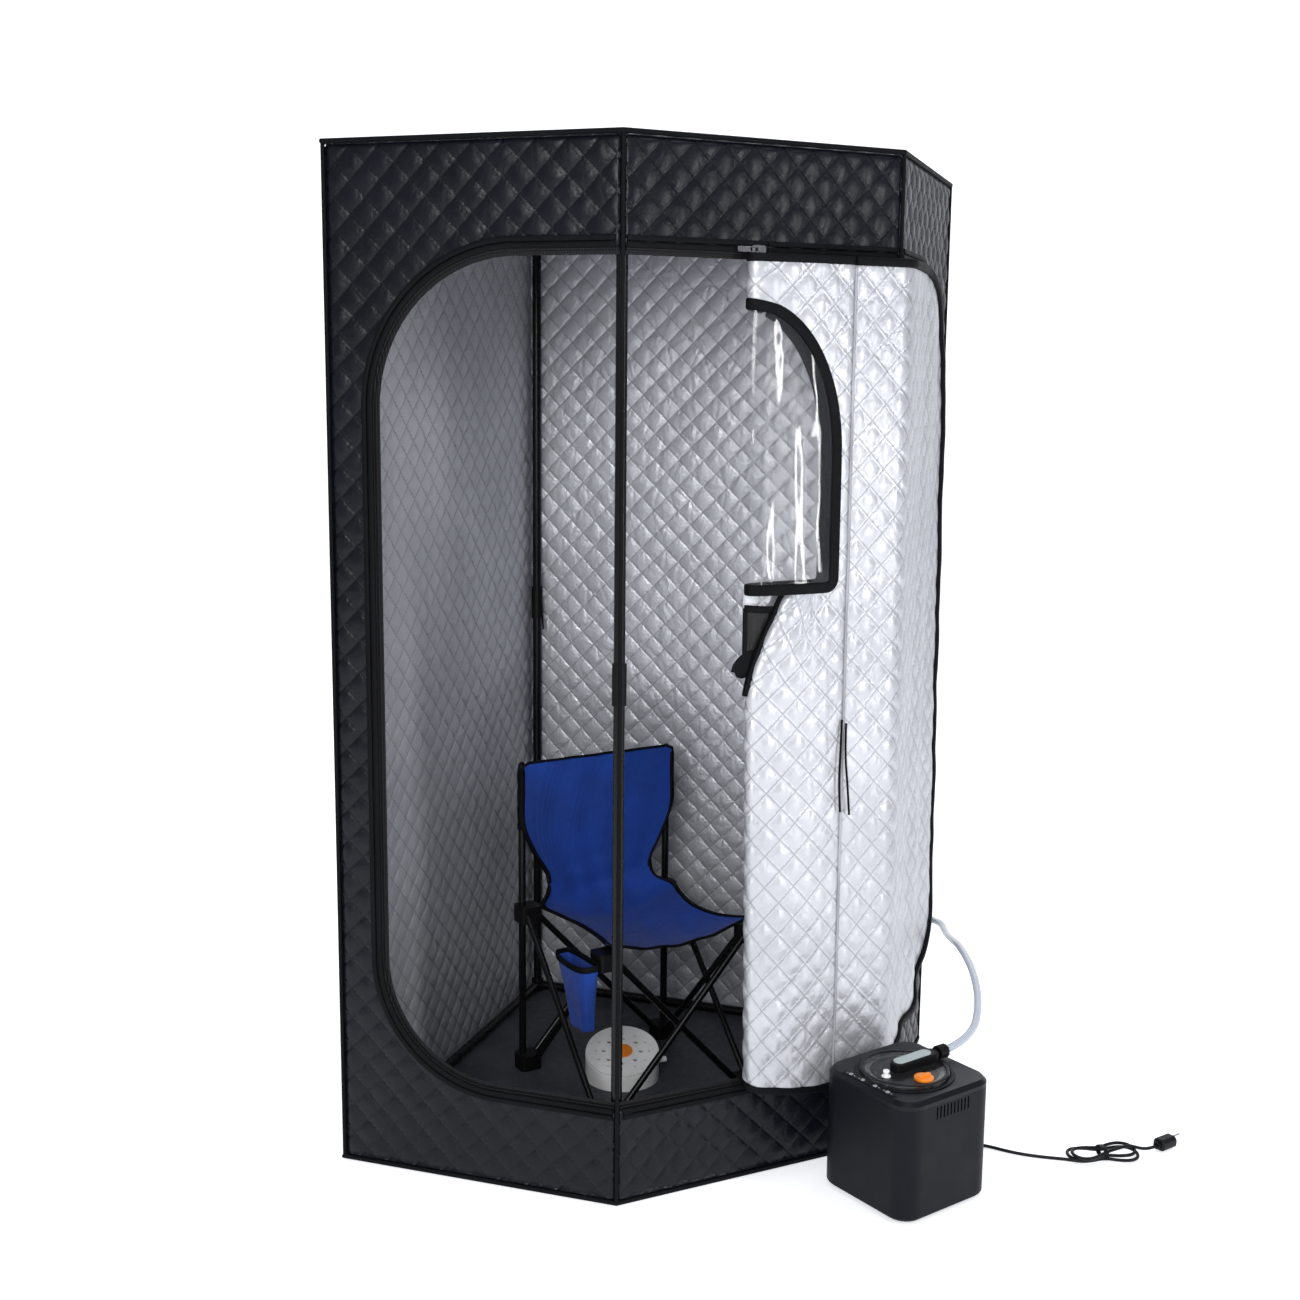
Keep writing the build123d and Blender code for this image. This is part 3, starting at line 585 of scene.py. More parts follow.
# ---- door ----------------------------------------------------------------------
CORNER_R = 0.040
CORNER_T = CORNER_R * math.tan(math.pi / 8)
LOOP = 0.085                  # cloth in the loop at the fold
PEEL_Z = (0.885, 1.066)       # here the front layer is pulled aside over the pocket
R2 = math.sqrt(0.5)


def fold_bulge(z):
    return 0.016 + 0.024 * clamp((z - SILL_Z) / 1.3)


def peel(z):
    """How far the front layer's edge is drawn back to show the pocket."""
    k = clamp((z - PEEL_Z[0]) / (PEEL_Z[1] - PEEL_Z[0]))
    return 0.062 * k ** 1.35 * (z < PEEL_Z[1] + 0.012)


def flap_track(d, z, peeled):
    """Plan position and silver-side normal at distance d past the fold, at height z."""
    x, y = np.empty(len(d)), np.empty(len(d))
    nx, ny = np.empty(len(d)), np.empty(len(d))
    back = peel(z) if peeled else 0 * z
    up = fold_mask(z, *UPPER)
    loop = d < 0
    a = math.pi * (1 + d[loop] / LOOP)
    swell = fold_bulge(z[loop]) * (1 - 8 * back[loop])
    x[loop] = back[loop] - swell * np.sin(a)
    y[loop] = -YC - FOLD_R + FOLD_R * np.cos(a)
    nx[loop], ny[loop] = -np.sin(a), np.cos(a)
    bend = FRONT - CORNER_T
    run = (d >= 0) & (d <= bend)
    x[run] = d[run] + back[run] * (1 - fold_mask(d[run], 0, 0.10))
    y[run], nx[run], ny[run] = FLAP_Y, 0, -1
    arc_len = CORNER_R * math.pi / 4
    arc = (d > bend) & (d < bend + arc_len)
    b = (d[arc] - bend) / CORNER_R
    x[arc] = bend + CORNER_R * np.sin(b)
    y[arc] = FLAP_Y + CORNER_R * (1 - np.cos(b))
    nx[arc], ny[arc] = np.sin(b), -np.cos(b)
    far = d >= bend + arc_len
    s = (d[far] - bend - arc_len) * (1 - 0.07 * up[far]) + CORNER_T
    x[far], y[far], nx[far], ny[far] = FRONT + R2 * s, FLAP_Y + R2 * s, R2, -R2
    return x, y, nx, ny


def on_flap(p, lift, peeled=True):
    x, y, nx, ny = flap_track(p[:, 0], p[:, 1], peeled)
    lift = lift - 0.005 * fold_mask(p[:, 1], *UPPER) * fold_mask(p[:, 0], 0.28, 0.44)
    droop = 0.028 * fold_mask(-p[:, 1], -0.75, -0.18) * np.sin(math.pi * clamp((p[:, 0] + 0.05) / 0.46))
    return np.column_stack([x + nx * lift, y + ny * lift, p[:, 1] - droop])


def flap_wave(p):
    """The front layer swells between fold and seam, and hangs in soft upright folds past it."""
    d, z = p[:, 0], p[:, 1]
    low = fold_mask(-z, -1.3, -0.2)
    swing = 0.0075 * np.sin(math.pi * clamp(d / SEAM_X)) * (0.6 + 0.4 * low)
    fold = np.sin(2 * np.pi * (d - 0.33) / 0.17 + 1.8 * np.sin(2.4 * z))
    swing += 0.006 * (1 - 0.6 * fold_mask(z, *UPPER)) * fold_mask(d, 0.32, 0.6) * fold
    swing += 0.0045 * fold_mask(d, 0.02, 0.1) * (0.4 + 0.6 * low) * waves(p, 0.42, 4)
    swing += 0.0035 * fold_mask(d, 0.16, 0.24) * waves(p, 0.2, 6)
    return swing * calm(p)


def calm(p):
    """Flat cloth behind the tie cords."""
    return 1 - np.exp(-((p[:, 0] - 0.151) / 0.028) ** 2 - ((p[:, 1] - 0.750) / 0.115) ** 4)


def flap_sdf(d0, d1, win):
    def f(p):
        s = np.maximum(sd_arch(p, -DOOR_GAP), sd_box(p, d0, d1, 0, 2))
        if win:
            s = np.maximum(s, -sd_window(p, 0.004))
        return s
    return f


def bend_at_fold(obj):
    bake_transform(obj)


def bend_at_corner(obj):
    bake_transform(obj)


def make_flap():
    for name, d0, d1, win, reps in (
            ("cloth_door_fold", -LOOP, SEAM_X, True, ["door_fold_strip", "door_flap_inner"]),
            ("cloth_door_wing", SEAM_X, OPEN_HALF, False,
             ["door_flap_wing", "door_skirt_wing", "door_skirt_inner"])):
        sdf = flap_sdf(d0, d1, win)
        pts, faces = snapped_grid(sdf, d0, d1, 0.15, 1.65)
        edge = clamp(-sd_arch(pts, -DOOR_GAP) / (0.014 if win else 0.055))
        if win:
            edge = np.minimum(edge, clamp(sd_window(pts, 0.004) / 0.014))
        edge = np.minimum(edge, clamp(np.abs(pts[:, 0] - SEAM_X) / 0.014))
        relief = puff(pts) * (0.15 + 0.85 * edge) * (0.15 + 0.85 * calm(pts))
        w = flap_wave(pts)
        obj = shell(name, pts, [f[::-1] for f in faces], on_flap, 0.0030 + 0.0034 * relief + w,
                    0.0006 - 0.0026 * relief + w, None, reps, SILVER, BLACK)
        (bend_at_fold if win else bend_at_corner)(obj)
        sheet(obj, pts, faces, held="folded" if win else "hung")


def outline(grow, u_start, step=0.009):
    """The opening's edge from the low middle, out round the free side, to the top middle."""
    half, z0, z1 = OPEN_HALF + grow, SILL_Z - grow, HEADER_Z + grow
    rt, rl = TOP_R + grow, BOTTOM_R + grow
    pts = []

    def run(a, b):
        n = max(2, int(math.dist(a, b) / step))
        for k in range(n):
            pts.append((a[0] + (b[0] - a[0]) * k / n, a[1] + (b[1] - a[1]) * k / n))

    def arc(cx, cz, r, a0, a1):
        n = max(6, int(r * abs(a1 - a0) / step))
        for k in range(n):
            a = a0 + (a1 - a0) * k / n
            pts.append((cx + r * math.cos(a), cz + r * math.sin(a)))

    run((u_start, z0), (half - rl, z0))
    arc(half - rl, z0 + rl, rl, -math.pi / 2, 0)
    run((half, z0 + rl), (half, z1 - rt))
    arc(half - rt, z1 - rt, rt, 0, math.pi / 2)
    run((half - rt, z1), (u_start, z1))
    pts.append((u_start, z1))
    return pts


def edge_band(name, path, place, lift, width, thick, mat=BINDING, body="tent"):
    """Binding along an outline given as (u, z), laid on the cloth by place()."""
    p = np.array(path)
    t = np.gradient(p, axis=0)
    side = unit(t)[:, ::-1] * (1, -1)
    level = np.full(len(p), lift)
    mid = place(p, level)
    a = unit(place(p + side * 0.002, level) - place(p - side * 0.002, level))
    o = unit(place(p, level + 0.002) - mid)
    return ribbon(name, mid, a, o, width, thick, mat, body)


def flap_band(name, path, width, thick, lift, mat=BINDING, peeled=True):
    p = np.array(path)
    wave = flap_wave(p)

    def place(q, l):
        return on_flap(q, np.asarray(l) + wave, peeled)
    return edge_band(name, path, place, lift, width, thick, mat, None)


def make_flap_trim():
    whole = outline(-0.009, -LOOP)
    inner = [q for q in whole if q[0] <= SEAM_X]
    low = [q for q in inner if q[1] < 1]
    high = [q for q in inner if q[1] > 1]
    for k, path in (("low", low), ("high", high)):
        hem = flap_band("hem_fold_" + k, path, 0.014, 0.009, 0.0035)
        bend_at_fold(hem)
    wing = flap_band("hem_wing", [q for q in whole if q[0] >= SEAM_X - 0.004], 0.015, 0.012, 0.0050)
    bend_at_corner(wing)
    seam = [(SEAM_X, 0.186 + 1.42 * i / 150) for i in range(151)]
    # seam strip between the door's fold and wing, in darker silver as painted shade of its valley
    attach(flap_band("seam_flap", seam, 0.0048, 0.0060, 0.0026, SEAM_SHADE_SILVER), "door_flap")
    half, z0, shoulder, mid, rx, ry = WIN
    path = [(-LOOP + (LOOP + half - 0.014) * i / 34, z0 - 0.001) for i in range(35)]
    for i in range(1, 7):
        a = -math.pi / 2 + math.pi / 2 * i / 6
        path.append((half - 0.014 + 0.015 * math.cos(a), z0 + 0.014 + 0.015 * math.sin(a)))
    path += [(half + 0.001, z0 + 0.014 + (shoulder - z0 - 0.014) * i / 28) for i in range(1, 29)]
    for i in range(1, 41):
        a = (math.pi / 2 + 0.32) * i / 40
        u = (rx + 0.001) * math.cos(a) - mid
        path.append((max(u, -LOOP) if a <= math.pi / 2 else u, shoulder + (ry + 0.001) * math.sin(a)))
    path = [q for q in path if q[0] >= -LOOP]
    front = flap_band("window_edge_flap", path, 0.019, 0.0075, 0.0035, peeled=False)
    bend_at_fold(front)
    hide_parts("window_binding_flap")
    back = edge_band("window_edge_fixed", [q for q in path if q[0] >= 0.002], lambda p, l: on_wall(1, p, l),
                     -0.002, 0.020, 0.0075)
    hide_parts("window_binding_fixed")
    drawn = [(-LOOP * 0.5, PEEL_Z[0] + (PEEL_Z[1] - PEEL_Z[0]) * i / 30) for i in range(31)]
    rim = flap_band("peeled_edge", drawn, 0.012, 0.010, 0.0055)
    bend_at_fold(rim)


def make_panes():
    for name, place, reps in (
            ("pane_flap", lambda p, l: on_flap(p, l + flap_wave(p), False), "window_pane_flap"),
            ("pane_fixed", lambda p, l: on_wall(1, p, l), "window_pane_fixed")):
        flap = name == "pane_flap"
        left = -LOOP if flap else 0.0

        def sdf(p, left=left):
            return np.maximum(sd_window(p, 0.003), sd_box(p, left, 0.3, 0, 2))
        pts, faces = snapped_grid(sdf, left, 0.13, 1.05, 1.56, CELL * 0.6)
        edge = clamp(-sdf(pts) / 0.03)
        tall = pts * np.array([1.0, 0.20])
        slow = (0.0055 if flap else 0.0012) * waves(tall, 0.11, len(name))
        ripple = edge * (slow + 0.0004 * waves(tall, 0.045, 3))
        base, film = (0.0030, CLEAR) if flap else (-0.0020, CLEAR_BACK)
        obj = shell(name, pts, [f[::-1] for f in faces] if flap else faces, place, base + 0.0003 + ripple,
                    base - 0.0003 + ripple, None if flap else "tent", [reps], film, film, "clear_window")
        if flap:
            bend_at_fold(obj)
        sheet(obj, pts, faces)


def make_fixed_half():
    for i, lo, hi, node in ((1, 0.0, FRONT - WALL_GAP, "door_fixed_inner"),
                            (2, FRONT + WALL_GAP, OPEN_HALF, "door_fixed_wing")):
        def sdf(p, i=i, lo=lo, hi=hi):
            d = np.maximum(sd_arch(p, -DOOR_GAP), sd_box(p, lo, hi, 0, 2))
            return np.maximum(d, -sd_window(p, 0.004)) if i == 1 else d
        pts, faces = snapped_grid(sdf, lo, hi, 0.15, 1.65)
        edge = clamp(-sdf(pts) / 0.012)
        relief = puff(pts) * (0.2 + 0.8 * edge)
        hang = 0.003 * edge * waves(pts, 0.4, 1)
        obj = shell("cloth_" + node, pts, faces, lambda p, l, i=i: on_wall(i, p, l),
                    -0.0010 + 0.0034 * relief + hang, -0.0030 - 0.0046 * relief + hang, "tent", [node])
        sheet(obj, pts, faces)


def split_walls(path):
    """Cut an outline given along the whole front into its stretches on each front wall."""
    out = {0: [], 1: [], 2: []}
    for q in path:
        i = 0 if q[0] < -FRONT - 0.003 else 1 if -FRONT + 0.003 < q[0] < FRONT - 0.003 else \
            2 if q[0] > FRONT + 0.003 else None
        if i is not None:
            out[i].append(q)
    return out


def make_opening_trim():
    """Bound edge of the opening, and the raised zip band beside it."""
    for kind, grow, width, thick, lift in (("edge", 0.004, 0.011, 0.010, -0.002),
                                           ("band", 0.014, 0.009, 0.006, 0.0016)):
        right = outline(grow, 0.0)
        for hand, path in (("right", right), ("left", [(-u, z) for u, z in right])):
            for i, pts in split_walls(path).items():
                runs = [pts] if i != 1 else [[q for q in pts if q[1] < 1], [q for q in pts if q[1] > 1]]
                for k, run in enumerate(runs):
                    if len(run) > 3:
                        edge_band(f"{kind}_{hand}_{i}_{k}", run, lambda p, l, i=i: on_wall(i, p, l), lift,
                                  width, thick)


# ---- pocket on the door ----------------------------------------------------------
def make_door_pocket():
    lo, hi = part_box("door_pocket")
    x0, x1, z0, z1 = lo[0] - 0.001, hi[0] - 0.004, lo[2] - 0.004, hi[2] + 0.004
    y = (lo[1] + hi[1]) / 2

    def place(p, lift):
        return np.column_stack([p[:, 0], y - np.asarray(lift), p[:, 1]])
    top = z1 - 0.030
    for name, low, high, depth, thick, mat, slot, node in (
            ("pocket_mesh", z0, top, 0.0030, 0.0007, MESH, "mesh_cloth", ["door_pocket"]),
            ("pocket_back", z0, top, -0.0022, 0.0012, BINDING, "black_fabric", None),
            ("pocket_facing", z1 - 0.034, z1 + 0.003, -0.0016, 0.0030, SILVER, "quilt", None)):
        def sdf(p, low=low, high=high):
            return sd_box(p, x0, x1, low, high)
        pts, faces = snapped_grid(sdf, x0, x1, low, high, 0.004)
        k = clamp((pts[:, 1] - z0) / (z1 - z0))
        across = np.sin(np.pi * clamp((pts[:, 0] - x0) / (x1 - x0)))
        belly = (depth > 0) * (0.0035 * across * np.sin(3.0 * k) + 0.0012 * waves(pts, 0.07, 2))
        obj = shell(name, pts, faces, place, depth + belly, depth - thick + belly, "tent", node, mat, mat,
                    slot)
        sheet(obj, pts, faces)
    n = 25
    band = [(x0 + (x1 - x0) * i / (n - 1), y - 0.0035 - 0.0035 * math.sin(math.pi * i / (n - 1)),
             top - 0.004 * math.sin(math.pi * i / (n - 1))) for i in range(n)]
    ribbon("pocket_rim", band, [(0, 0, 1)] * n, [(0, 1, 0)] * n, 0.012, 0.0050)
    side = [(x0 + 0.002, y - 0.002, z0 + (top - z0) * i / (n - 1)) for i in range(n)]
    ribbon("pocket_side", side, [(1, 0, 0)] * n, [(0, 1, 0)] * n, 0.008, 0.0055)
    make_pocket_tail(x0, y, z0)


def make_pocket_tail(x0, y, z0):
    """The slack low corner of the pocket, a soft lobe that hangs out past the fold."""
    rows, ring = 16, 28
    verts = []
    for i in range(rows + 1):
        k = i / rows
        mid = (x0 + 0.036 - 0.056 * k, y - 0.0015 - 0.002 * math.sin(math.pi * k),
               z0 + 0.020 - 0.020 * k ** 1.5)
        tall = 0.021 * math.sqrt(max(1e-4, 1 - (2 * k - 1) ** 2 * (1.0 if k > 0.5 else 0.35))) + 0.0006
        flat = 0.0042 * math.sqrt(max(1e-3, 1 - max(0.0, 2 * k - 1) ** 2))
        for j in range(ring):
            a = 2 * math.pi * j / ring
            w = 1 + 0.10 * math.sin(3 * a + 5 * k)
            verts.append((mid[0] - 0.004 * math.sin(a) * k, mid[1] + flat * math.cos(a) * w,
                          mid[2] + tall * math.sin(a)))
    obj = new_piece("pocket_tail", verts, ring_faces(rows + 1, ring), [BINDING], "tent", "black_fabric")


# ---- chair -----------------------------------------------------------------------
SLING_ROWS = [  # along the sling: y, z, half width, metres
    (0.108, 0.652, 0.179), (0.108, 0.588, 0.179), (0.107, 0.522, 0.178), (0.106, 0.462, 0.152),
    (0.103, 0.414, 0.124), (0.093, 0.380, 0.128), (0.064, 0.365, 0.156), (0.020, 0.359, 0.146),
    (-0.050, 0.355, 0.132), (-0.120, 0.356, 0.136), (-0.172, 0.362, 0.150), (-0.206, 0.369, 0.164)]
CHAIR_TURN = (math.cos(math.radians(5)), math.sin(math.radians(5)))


def seated(p):
    """From the chair's own axes to the tent's."""
    c, s = CHAIR_TURN
    return (c * p[0] - s * p[1] - 0.012, s * p[0] + c * p[1] - 0.011, p[2])


def sling_row(s):
    k = s * (len(SLING_ROWS) - 1)
    i = min(int(k), len(SLING_ROWS) - 2)
    f = k - i
    p = [SLING_ROWS[max(0, min(len(SLING_ROWS) - 1, i + j))] for j in (-1, 0, 1, 2)]
    return [0.5 * (2 * b + (c - a) * f + (2 * a - 5 * b + 4 * c - d) * f ** 2
                   + (3 * b - a - 3 * c + d) * f ** 3) for a, b, c, d in zip(*p)]


def sling_point(s, t, lift):
    y, z, w = sling_row(s)
    seat = smooth((s - 0.36) / 0.24)
    turn = math.pi / 2 * seat
    sag = 0.040 * seat * (0.86 + 0.14 * math.cos((s - 0.72) * 9)) + 0.015 * (1 - seat) * math.sin(math.pi * s)
    pull = 0.0016 * math.sin(13 * t + 7 * s + 2 * math.sin(9 * s)) * (1 - t * t)
    waist = smooth((s - 0.2) / 0.2) * (1 - smooth((s - 0.5) / 0.2))
    pull += 0.0022 * math.sin(46 * s + 2.5 * t) * waist * (1 - t ** 4)
    d = sag * (1 - t * t) - lift + pull
    top = 1 - 0.10 * max(0.0, 1 - s / 0.022) ** 2
    return seated((w * t * (top if abs(t) > 0.9 else 1 - (1 - top) * abs(t)), y + math.cos(turn) * d,
                   z - math.sin(turn) * d))


def make_sling():
    rows, cols = 110, 60
    pts, uv = [], []
    for lift in (0.0009, -0.0009):
        for i in range(rows + 1):
            for j in range(cols + 1):
                s, t = i / rows, -1 + 2 * j / cols
                pts.append(sling_point(s, t, lift))
                uv.append((0.16 * t, 0.6 * s))
    n = (rows + 1) * (cols + 1)
    faces = []
    for i in range(rows):
        for j in range(cols):
            a = i * (cols + 1) + j
            faces.append((a, a + 1, a + cols + 2, a + cols + 1))
    allf = faces + [tuple(n + k for k in reversed(f)) for f in faces]
    allf += [(b, a, n + a, n + b) for a, b in boundary(faces)]
    obj = new_piece("chair_cloth", pts, allf, [BLUE], "tent", "blue_cloth", None, uv)
    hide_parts("chair_sling")
    for tag, side in (("left", -1), ("right", 1)):
        bind_edge("chair_edge_" + tag, [sling_point(i / 60, side * 0.985, 0.0) for i in range(61)])
    for tag, s in (("front", 0.995), ("top", 0.004)):
        bind_edge("chair_edge_" + tag, [sling_point(s, -0.985 + 1.97 * j / 50, 0.0) for j in range(51)])


def bind_edge(name, line):
    p = np.array(line)
    t = unit(np.gradient(p, axis=0))
    side = unit(np.cross(t, np.tile((0.0, 0.35, 1.0), (len(p), 1))))
    ribbon(name, p, side, np.cross(side, t), 0.010, 0.0052)


def make_sleeves():
    lo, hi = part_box("sling_sleeves")
    r0 = 0.0092
    for tag, side in (("left", -0.171), ("right", 0.171)):
        x, y = seated((side, 0.122, 0))[:2]
        verts = []
        rows, ring = 26, 24
        for i in range(rows + 1):
            z = lo[2] + (hi[2] - lo[2]) * i / rows
            top = smooth((i - rows + 3) / 3.0)
            for k in range(ring):
                a = 2 * math.pi * k / ring
                r = (r0 + 0.0005 * math.sin(3 * a + 0.9 * i)) * (1 - 0.5 * top)
                verts.append((x + r * math.cos(a), y + r * math.sin(a), z))
        obj = new_piece("chair_sleeve_" + tag, verts, ring_faces(rows + 1, ring), [BINDING], "tent",
                        "black_fabric")
        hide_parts("sling_sleeves")


def make_chair_pocket():
    lo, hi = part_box("chair_pocket")
    rows, ring = 30, 72
    verts = []

    def loop(f, shrink):
        w, l = 0.013 + 0.007 * f - shrink, 0.029 + 0.029 * f - shrink
        cx, cy = -0.203 - 0.008 * f, -0.188 + 0.008 * f
        z = lo[2] + (hi[2] - lo[2]) * f
        out = []
        for k in range(ring):
            a = 2 * math.pi * k / ring
            c, s = math.cos(a), math.sin(a)
            x = math.copysign(abs(c) ** 0.45, c) * w
            y = math.copysign(abs(s) ** 0.45, s) * l
            fold = 0.0012 * math.sin(9 * a + 4 * f) * (1 - f) - 0.0022 * math.sin(math.pi * f) * abs(s)
            out.append(seated((cx + x + fold * c, cy + y + fold * s, z - 0.005 * (1 - abs(s)) * f * (c < 0))))
        return out
    for f in [i / rows for i in range(rows + 1)]:
        verts += loop(f, 0.0)
    for f in [1 - i / rows for i in range(rows + 1)]:
        verts += loop(max(f, 0.02), 0.0016)
    obj = new_piece("chair_pouch", verts, ring_faces(2 * rows + 2, ring), [BLUE], "tent", "blue_cloth", None,
                    [(v[1], v[2]) for v in verts])
    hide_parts("chair_pocket")
    p = np.array(loop(1.0, 0.0004))
    out = np.cross(unit(np.roll(p, -1, 0) - np.roll(p, 1, 0)), (0, 0, 1.0))
    ribbon("pouch_rim", p, [(0, 0, 1)] * len(p), out, 0.012, 0.0046, closed=True)


# ---- cords -----------------------------------------------------------------------
STEAMER_TURN = (math.cos(math.radians(10)), math.sin(math.radians(10)))


def steamer_point(x, y, z):
    """From the steamer's own axes to the tent's."""
    c, s = STEAMER_TURN
    return (0.225 + c * x - s * y, -0.665 + s * x + c * y, z)


HOSE_ROUTE = [steamer_point(0.088, 0, 0.235), (0.385, -0.6368, 0.240), (0.460, -0.560, 0.268),
              (0.520, -0.460, 0.290), (0.575, -0.345, 0.292), (0.640, -0.225, 0.262), (0.684, -0.150, 0.245),
              (0.725, -0.080, 0.240), (0.6867, -0.0043, 0.240), (0.6027, 0.0090, 0.240),
              (0.5350, -0.0587, 0.240)]
CORD_ROUTE = [steamer_point(0.1085, 0.060, 0.018), steamer_point(0.150, 0.064, 0.016), (0.410, -0.575, 0.005),
              (0.452, -0.597, 0.0032), (0.484, -0.650, 0.0032), (0.522, -0.686, 0.0032)]
TAIL_ROUTE = [(0.680, -0.741, 0.0175), (0.700, -0.748, 0.010), (0.717, -0.7525, 0.0085),
              (0.733, -0.755, 0.0115)]
HANK_AT, HANK_YAW = (0.625, -0.728), math.radians(-14)


def hank_turns():
    """Spare cord folded in long loops that cross at the tie, each turn a little different."""
    out = [(0.556, -0.712, 0.0035)]     # the lead comes in along the first loop
    per = 16
    last = int(2.25 * per)
    for k in range(1, last):
        a = 2 * math.pi * (k + 1) / per + math.pi
        i = k / per
        long = 0.065 + 0.003 * math.sin(2.3 * i)
        wide = 0.046 - 0.0035 * i
        x = long * math.cos(a)
        y = wide * math.sin(a) * (0.32 + 0.68 * abs(math.cos(a)))
        z = 0.0040 + 0.0052 * i + 0.0005 * math.sin(3 * a)
        yaw = HANK_YAW + math.radians(11) * (i - 1.2)
        c, s = math.cos(yaw), math.sin(yaw)
        out.append((HANK_AT[0] + c * x - s * y, HANK_AT[1] + s * x + c * y, z))
    c, s = math.cos(HANK_YAW), math.sin(HANK_YAW)
    for x, y, z in ((0.021, -0.0065, 0.0165), (0.039, -0.0020, 0.0172)):    # the last strand leaves midway
        out.append((HANK_AT[0] + c * x - s * y, HANK_AT[1] + s * x + c * y, z))
    return out


def cord_curve(name, points, diameter, mat):
    curve = bpy.data.curves.new(name, "CURVE")
    curve.dimensions = "3D"
    spline = curve.splines.new("NURBS")
    spline.points.add(len(points) - 1)
    for p, q in zip(spline.points, points):
        p.co = (*q, 1)
    spline.order_u = 3
    spline.use_endpoint_u = True
    spline.resolution_u = 12
    curve.bevel_depth = diameter / 2
    curve.bevel_resolution = 6
    curve.use_fill_caps = True
    curve.materials.append(mat)
    obj = add_object(name, curve)
    return obj


def curve_length(obj):
    """Length of the spline itself, from its tessellation with no bevel."""
    data = obj.data.copy()
    data.bevel_depth = 0
    probe = add_object("probe", data)
    bpy.context.view_layer.update()
    mesh = bpy.data.meshes.new_from_object(probe.evaluated_get(bpy.context.evaluated_depsgraph_get()))
    total = sum((mesh.vertices[e.vertices[0]].co - mesh.vertices[e.vertices[1]].co).length for e in mesh.edges)
    bpy.data.objects.remove(probe)
    bpy.data.meshes.remove(mesh)
    bpy.data.curves.remove(data)
    return total


def make_cords():
    hose = cord_curve("hose_run", HOSE_ROUTE, 0.014, HOSE)
    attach(hose, "tent")
    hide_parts("steam_hose")
    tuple(HOSE_ROUTE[0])
    round(curve_length(hose), 2)
    lead = cord_curve("power_lead", CORD_ROUTE + hank_turns() + TAIL_ROUTE, 0.006, RUBBER)
    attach(lead, "tent")
    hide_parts("power_cord", "cord_hank", "power_cord_tail")
    tie = make_cord_tie()
    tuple(CORD_ROUTE[0])
    round(curve_length(lead), 2)
    for k, (x, z, lean) in enumerate(((0.147, 0.832, -0.005), (0.156, 0.825, 0.005))):
        tie_cord(f"door_tie_{k}", tie_points(x, FLAP_Y - 0.004 - 0.0032, z, lean), "door_flap", "door_ties")
    x, y = plan(0.020)[4]
    tie_cord("post_tie_cord", tie_points(x, y - 0.0155, 1.020, 0.003), "tent", "post_tie")


def tie_points(x, y, z, lean):
    return [(x, y, z), (x - 0.003, y - 0.0035, z - 0.054), (x - 0.001 + lean, y - 0.0045, z - 0.110),
            (x + 0.004 + lean, y - 0.004, z - 0.164)]


def tie_cord(name, points, body, node):
    obj = cord_curve(name, points, 0.004, BINDING)
    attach(obj, body)
    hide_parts(node)
    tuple(points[0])
    round(curve_length(obj), 3)


def make_cord_tie():
    c, s = math.cos(HANK_YAW), math.sin(HANK_YAW)
    pts, out = [], []
    for ca, sa in around(32):
        y, z = 0.0185 * ca, 0.0112 + 0.0104 * sa
        pts.append((HANK_AT[0] - s * y, HANK_AT[1] + c * y, z))
        out.append((-s * ca, c * ca, sa))
    return ribbon("cord_wrap", pts, [(c, s, 0)] * 32, out, 0.009, 0.0014, HARD_BLACK, "tent", "black_plastic",
                  closed=True)


# ---- steamer and pot details -------------------------------------------------------
def disc(name, centre, normal, r, thick, mat, body, slot, seg=40):
    """A turned cap with a rounded edge."""
    n = unit(np.array(normal, float))
    a = unit(np.cross(n, (0, 1, 0.2)))
    b = np.cross(n, a)
    prof = [(1.0, 0.0), (1.0, 0.55), (0.975, 0.85), (0.93, 1.0), (0.6, 1.0), (0.3, 1.0)]
    verts = []
    for pr, ph in prof:
        for c, s in around(seg):
            verts.append(np.array(centre) + r * pr * (c * a + s * b) + n * thick * ph)
    faces = [f[::-1] for f in ring_faces(len(prof), seg)]
    return new_piece(name, verts, faces, [mat], body, slot)


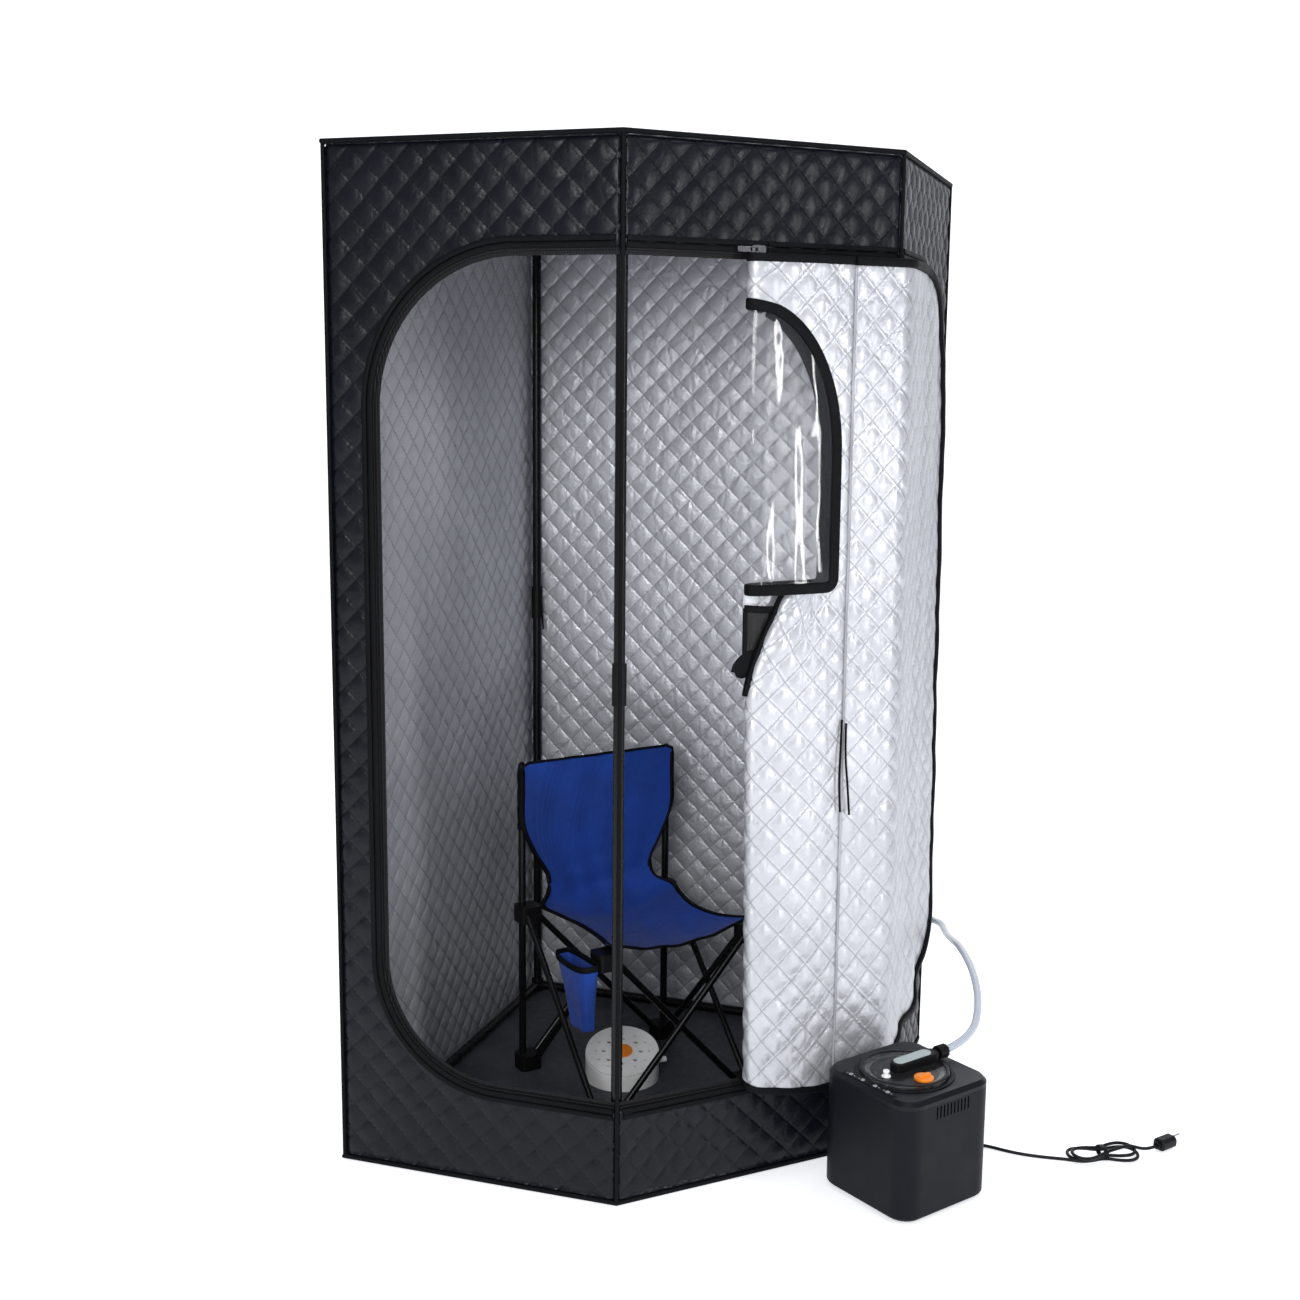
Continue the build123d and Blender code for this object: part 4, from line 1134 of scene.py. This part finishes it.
def make_steamer_details():
    across = np.array((-STEAMER_TURN[1], STEAMER_TURN[0], 0))
    rings, ring = 12, 20
    verts = []
    for i in range(rings):
        p = steamer_point(0.108 + 0.0028 * i, 0.060, 0.018)
        r = 0.0064 - 0.0026 * i / (rings - 1) + (0.0006 if i % 2 else 0)      # tapered, with raised ribs
        for c, s in around(ring):
            verts.append(np.array(p) + r * (c * across + s * np.array((0, 0, 1))))
    new_piece("strain_relief", verts, ring_faces(rings, ring), [RUBBER], "tent", "cord_rubber")
    for k in range(4):
        y = -0.045 + 0.030 * k
        for j, dy in enumerate((-0.0088, 0.0088)):
            c = steamer_point(-0.0935, y + dy, 0.2213)
            disc(f"panel_mark_{k}_{j}", c, (0, 0, 1), 0.0015, 0.0004, GREY_KEY, "tent", "button_grey", seg=16)
    c10, s10 = STEAMER_TURN
    turns = around(120)
    bezel = [steamer_point(-0.008 + 0.0835 * c, 0.0835 * s, 0.2206) for c, s in turns]
    arms = [(c10 * c - s10 * s, s10 * c + c10 * s, 0) for c, s in turns]
    ribbon("deck_bezel", bezel, arms, [(0, 0, 1)] * len(turns), 0.009, 0.0036, HARD_BLACK, "tent",
           "black_plastic", closed=True)
    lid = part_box("steamer_lid")
    cx, cy = (lid[0][0] + lid[1][0]) / 2, (lid[0][1] + lid[1][1]) / 2
    turns = around(96)
    rim = [(cx + 0.0745 * c, cy + 0.0745 * s, lid[1][2] + 0.0003) for c, s in turns]
    ribbon("lid_rim", rim, [(c, s, 0) for c, s in turns], [(0, 0, 1)] * len(turns), 0.006, 0.0022,
           STEAMER_DECK, "steamer_lid", "steamer_plastic", closed=True)
    tilt = math.radians(17)
    n = (-0.448 * math.sin(tilt), -0.894 * math.sin(tilt), math.cos(tilt))
    top = np.array((-0.030, -0.040, 0.058)) + 0.0043 * np.array(n)
    disc("pot_badge", top, n, 0.021, 0.0008, ORANGE, "pot_lid", "orange_plastic")


def paint_nodes():
    table = {
        BINDING: "edge_piping",
        ZIP: "zip_tapes",
        METAL: "zip_slider zip_pull",
        HARD_BLACK: "hose_grommet post_couplers corner_connectors steamer_base "
                    "lid_arm hose_nut control_strip chair_feet chair_brackets",
        TUBE: "posts rails chair_legs chair_uprights",
        STEAMER: "steamer_housing",
        STEAMER_DECK: "steamer_deck",
        STEEL: "inner_pot",
        SMOKE: "steamer_lid",
        PALE: "arm_cover",
        WHITE: "relief_valve pot_body pot_lid",
        ORANGE: "fill_cap",
        GREY_KEY: "panel_button_1 panel_button_2 panel_button_3 panel_button_4",
        RUBBER: "plug",
        CHROME: "plug_pins",
    }
    for mat, names in table.items():
        for name in names.split():
            data = bpy.data.objects[name].data
            data.materials.clear()
            data.materials.append(mat)


# ---- stage -------------------------------------------------------------------------
def make_stage():
    verts, faces = [], []
    prof = [(-6.0, 0.0), (4.0, 0.0)]
    prof += [(4.0 + 1.5 * math.sin(a), 1.5 - 1.5 * math.cos(a)) for a in
             [math.pi / 2 * k / 12 for k in range(1, 13)]] + [(5.5, 7.0)]
    for y, z in prof:
        verts += [(-9, y, z - 0.0003), (9, y, z - 0.0003)]
    for i in range(len(prof) - 1):
        faces.append((2 * i, 2 * i + 1, 2 * i + 3, 2 * i + 2))
    m = Mat("studio_floor", (0.93, 0.93, 0.935), 0.7)
    m.add_height(m.noise(60.0, 2.0), 0.0001)
    m.bsdf.inputs["Emission Color"].default_value = (0.95, 0.97, 1.0, 1)
    m.bsdf.inputs["Emission Strength"].default_value = 0.50
    obj = new_piece("studio_floor", verts, faces, [m.done()], None, None)
    obj.rotation_euler = (0, 0, math.radians(-26.6))
    world = bpy.data.worlds.new("studio")
    bpy.context.scene.world = world
    world.use_nodes = True
    world.node_tree.nodes["Background"].inputs[0].default_value = (0.93, 0.95, 1.0, 1)
    world.node_tree.nodes["Background"].inputs[1].default_value = 0.36
    for name, place, aim, wide, tall, power in (
            ("key", (-2.5, -3.5, 2.3), (0, 0, 0.8), 1.5, 2.0, 105),
            ("strip", (1.95, -3.65, 1.35), (0, -0.5, 1.1), 0.35, 1.8, 44),
            ("top", (0.2, -0.9, 4.2), (0, 0, 0.8), 2.4, 2.4, 42),
            ("rear", (1.5, 3.2, 3.2), (0, 0, 1.0), 2.4, 2.4, 50)):
        light = bpy.data.lights.new(name, "AREA")
        light.shape = "RECTANGLE"
        light.size, light.size_y = wide, tall
        light.energy = power
        lamp = add_object(name, light)
        lamp.location = place
        lamp.rotation_euler = (Vector(aim) - Vector(place)).to_track_quat("-Z", "Y").to_euler()


def make_camera():
    data = bpy.data.cameras.new("camera")
    data.sensor_width = 36.0
    data.lens = 46.02
    cam = add_object("camera", data)
    cam.rotation_mode = "XYZ"
    cam.location = (-1.4213, -2.9202, 1.4319)
    turn = Matrix.Rotation(math.radians(-26.649), 3, "Z") @ Matrix.Rotation(math.radians(90 - 9.63), 3, "X") \
        @ Matrix.Rotation(math.radians(0.568), 3, "Z")
    cam.rotation_euler = turn.to_euler()
    data.clip_start = 0.05
    bpy.context.scene.camera = cam
    bpy.context.scene.view_settings.view_transform = "Standard"


make_camera()
make_stage()
paint_nodes()
make_walls()
make_roof_and_floor()
make_fixed_half()
make_flap()
make_flap_trim()
make_panes()
make_opening_trim()
make_door_pocket()
make_sling()
make_sleeves()
make_chair_pocket()
make_cords()
make_steamer_details()
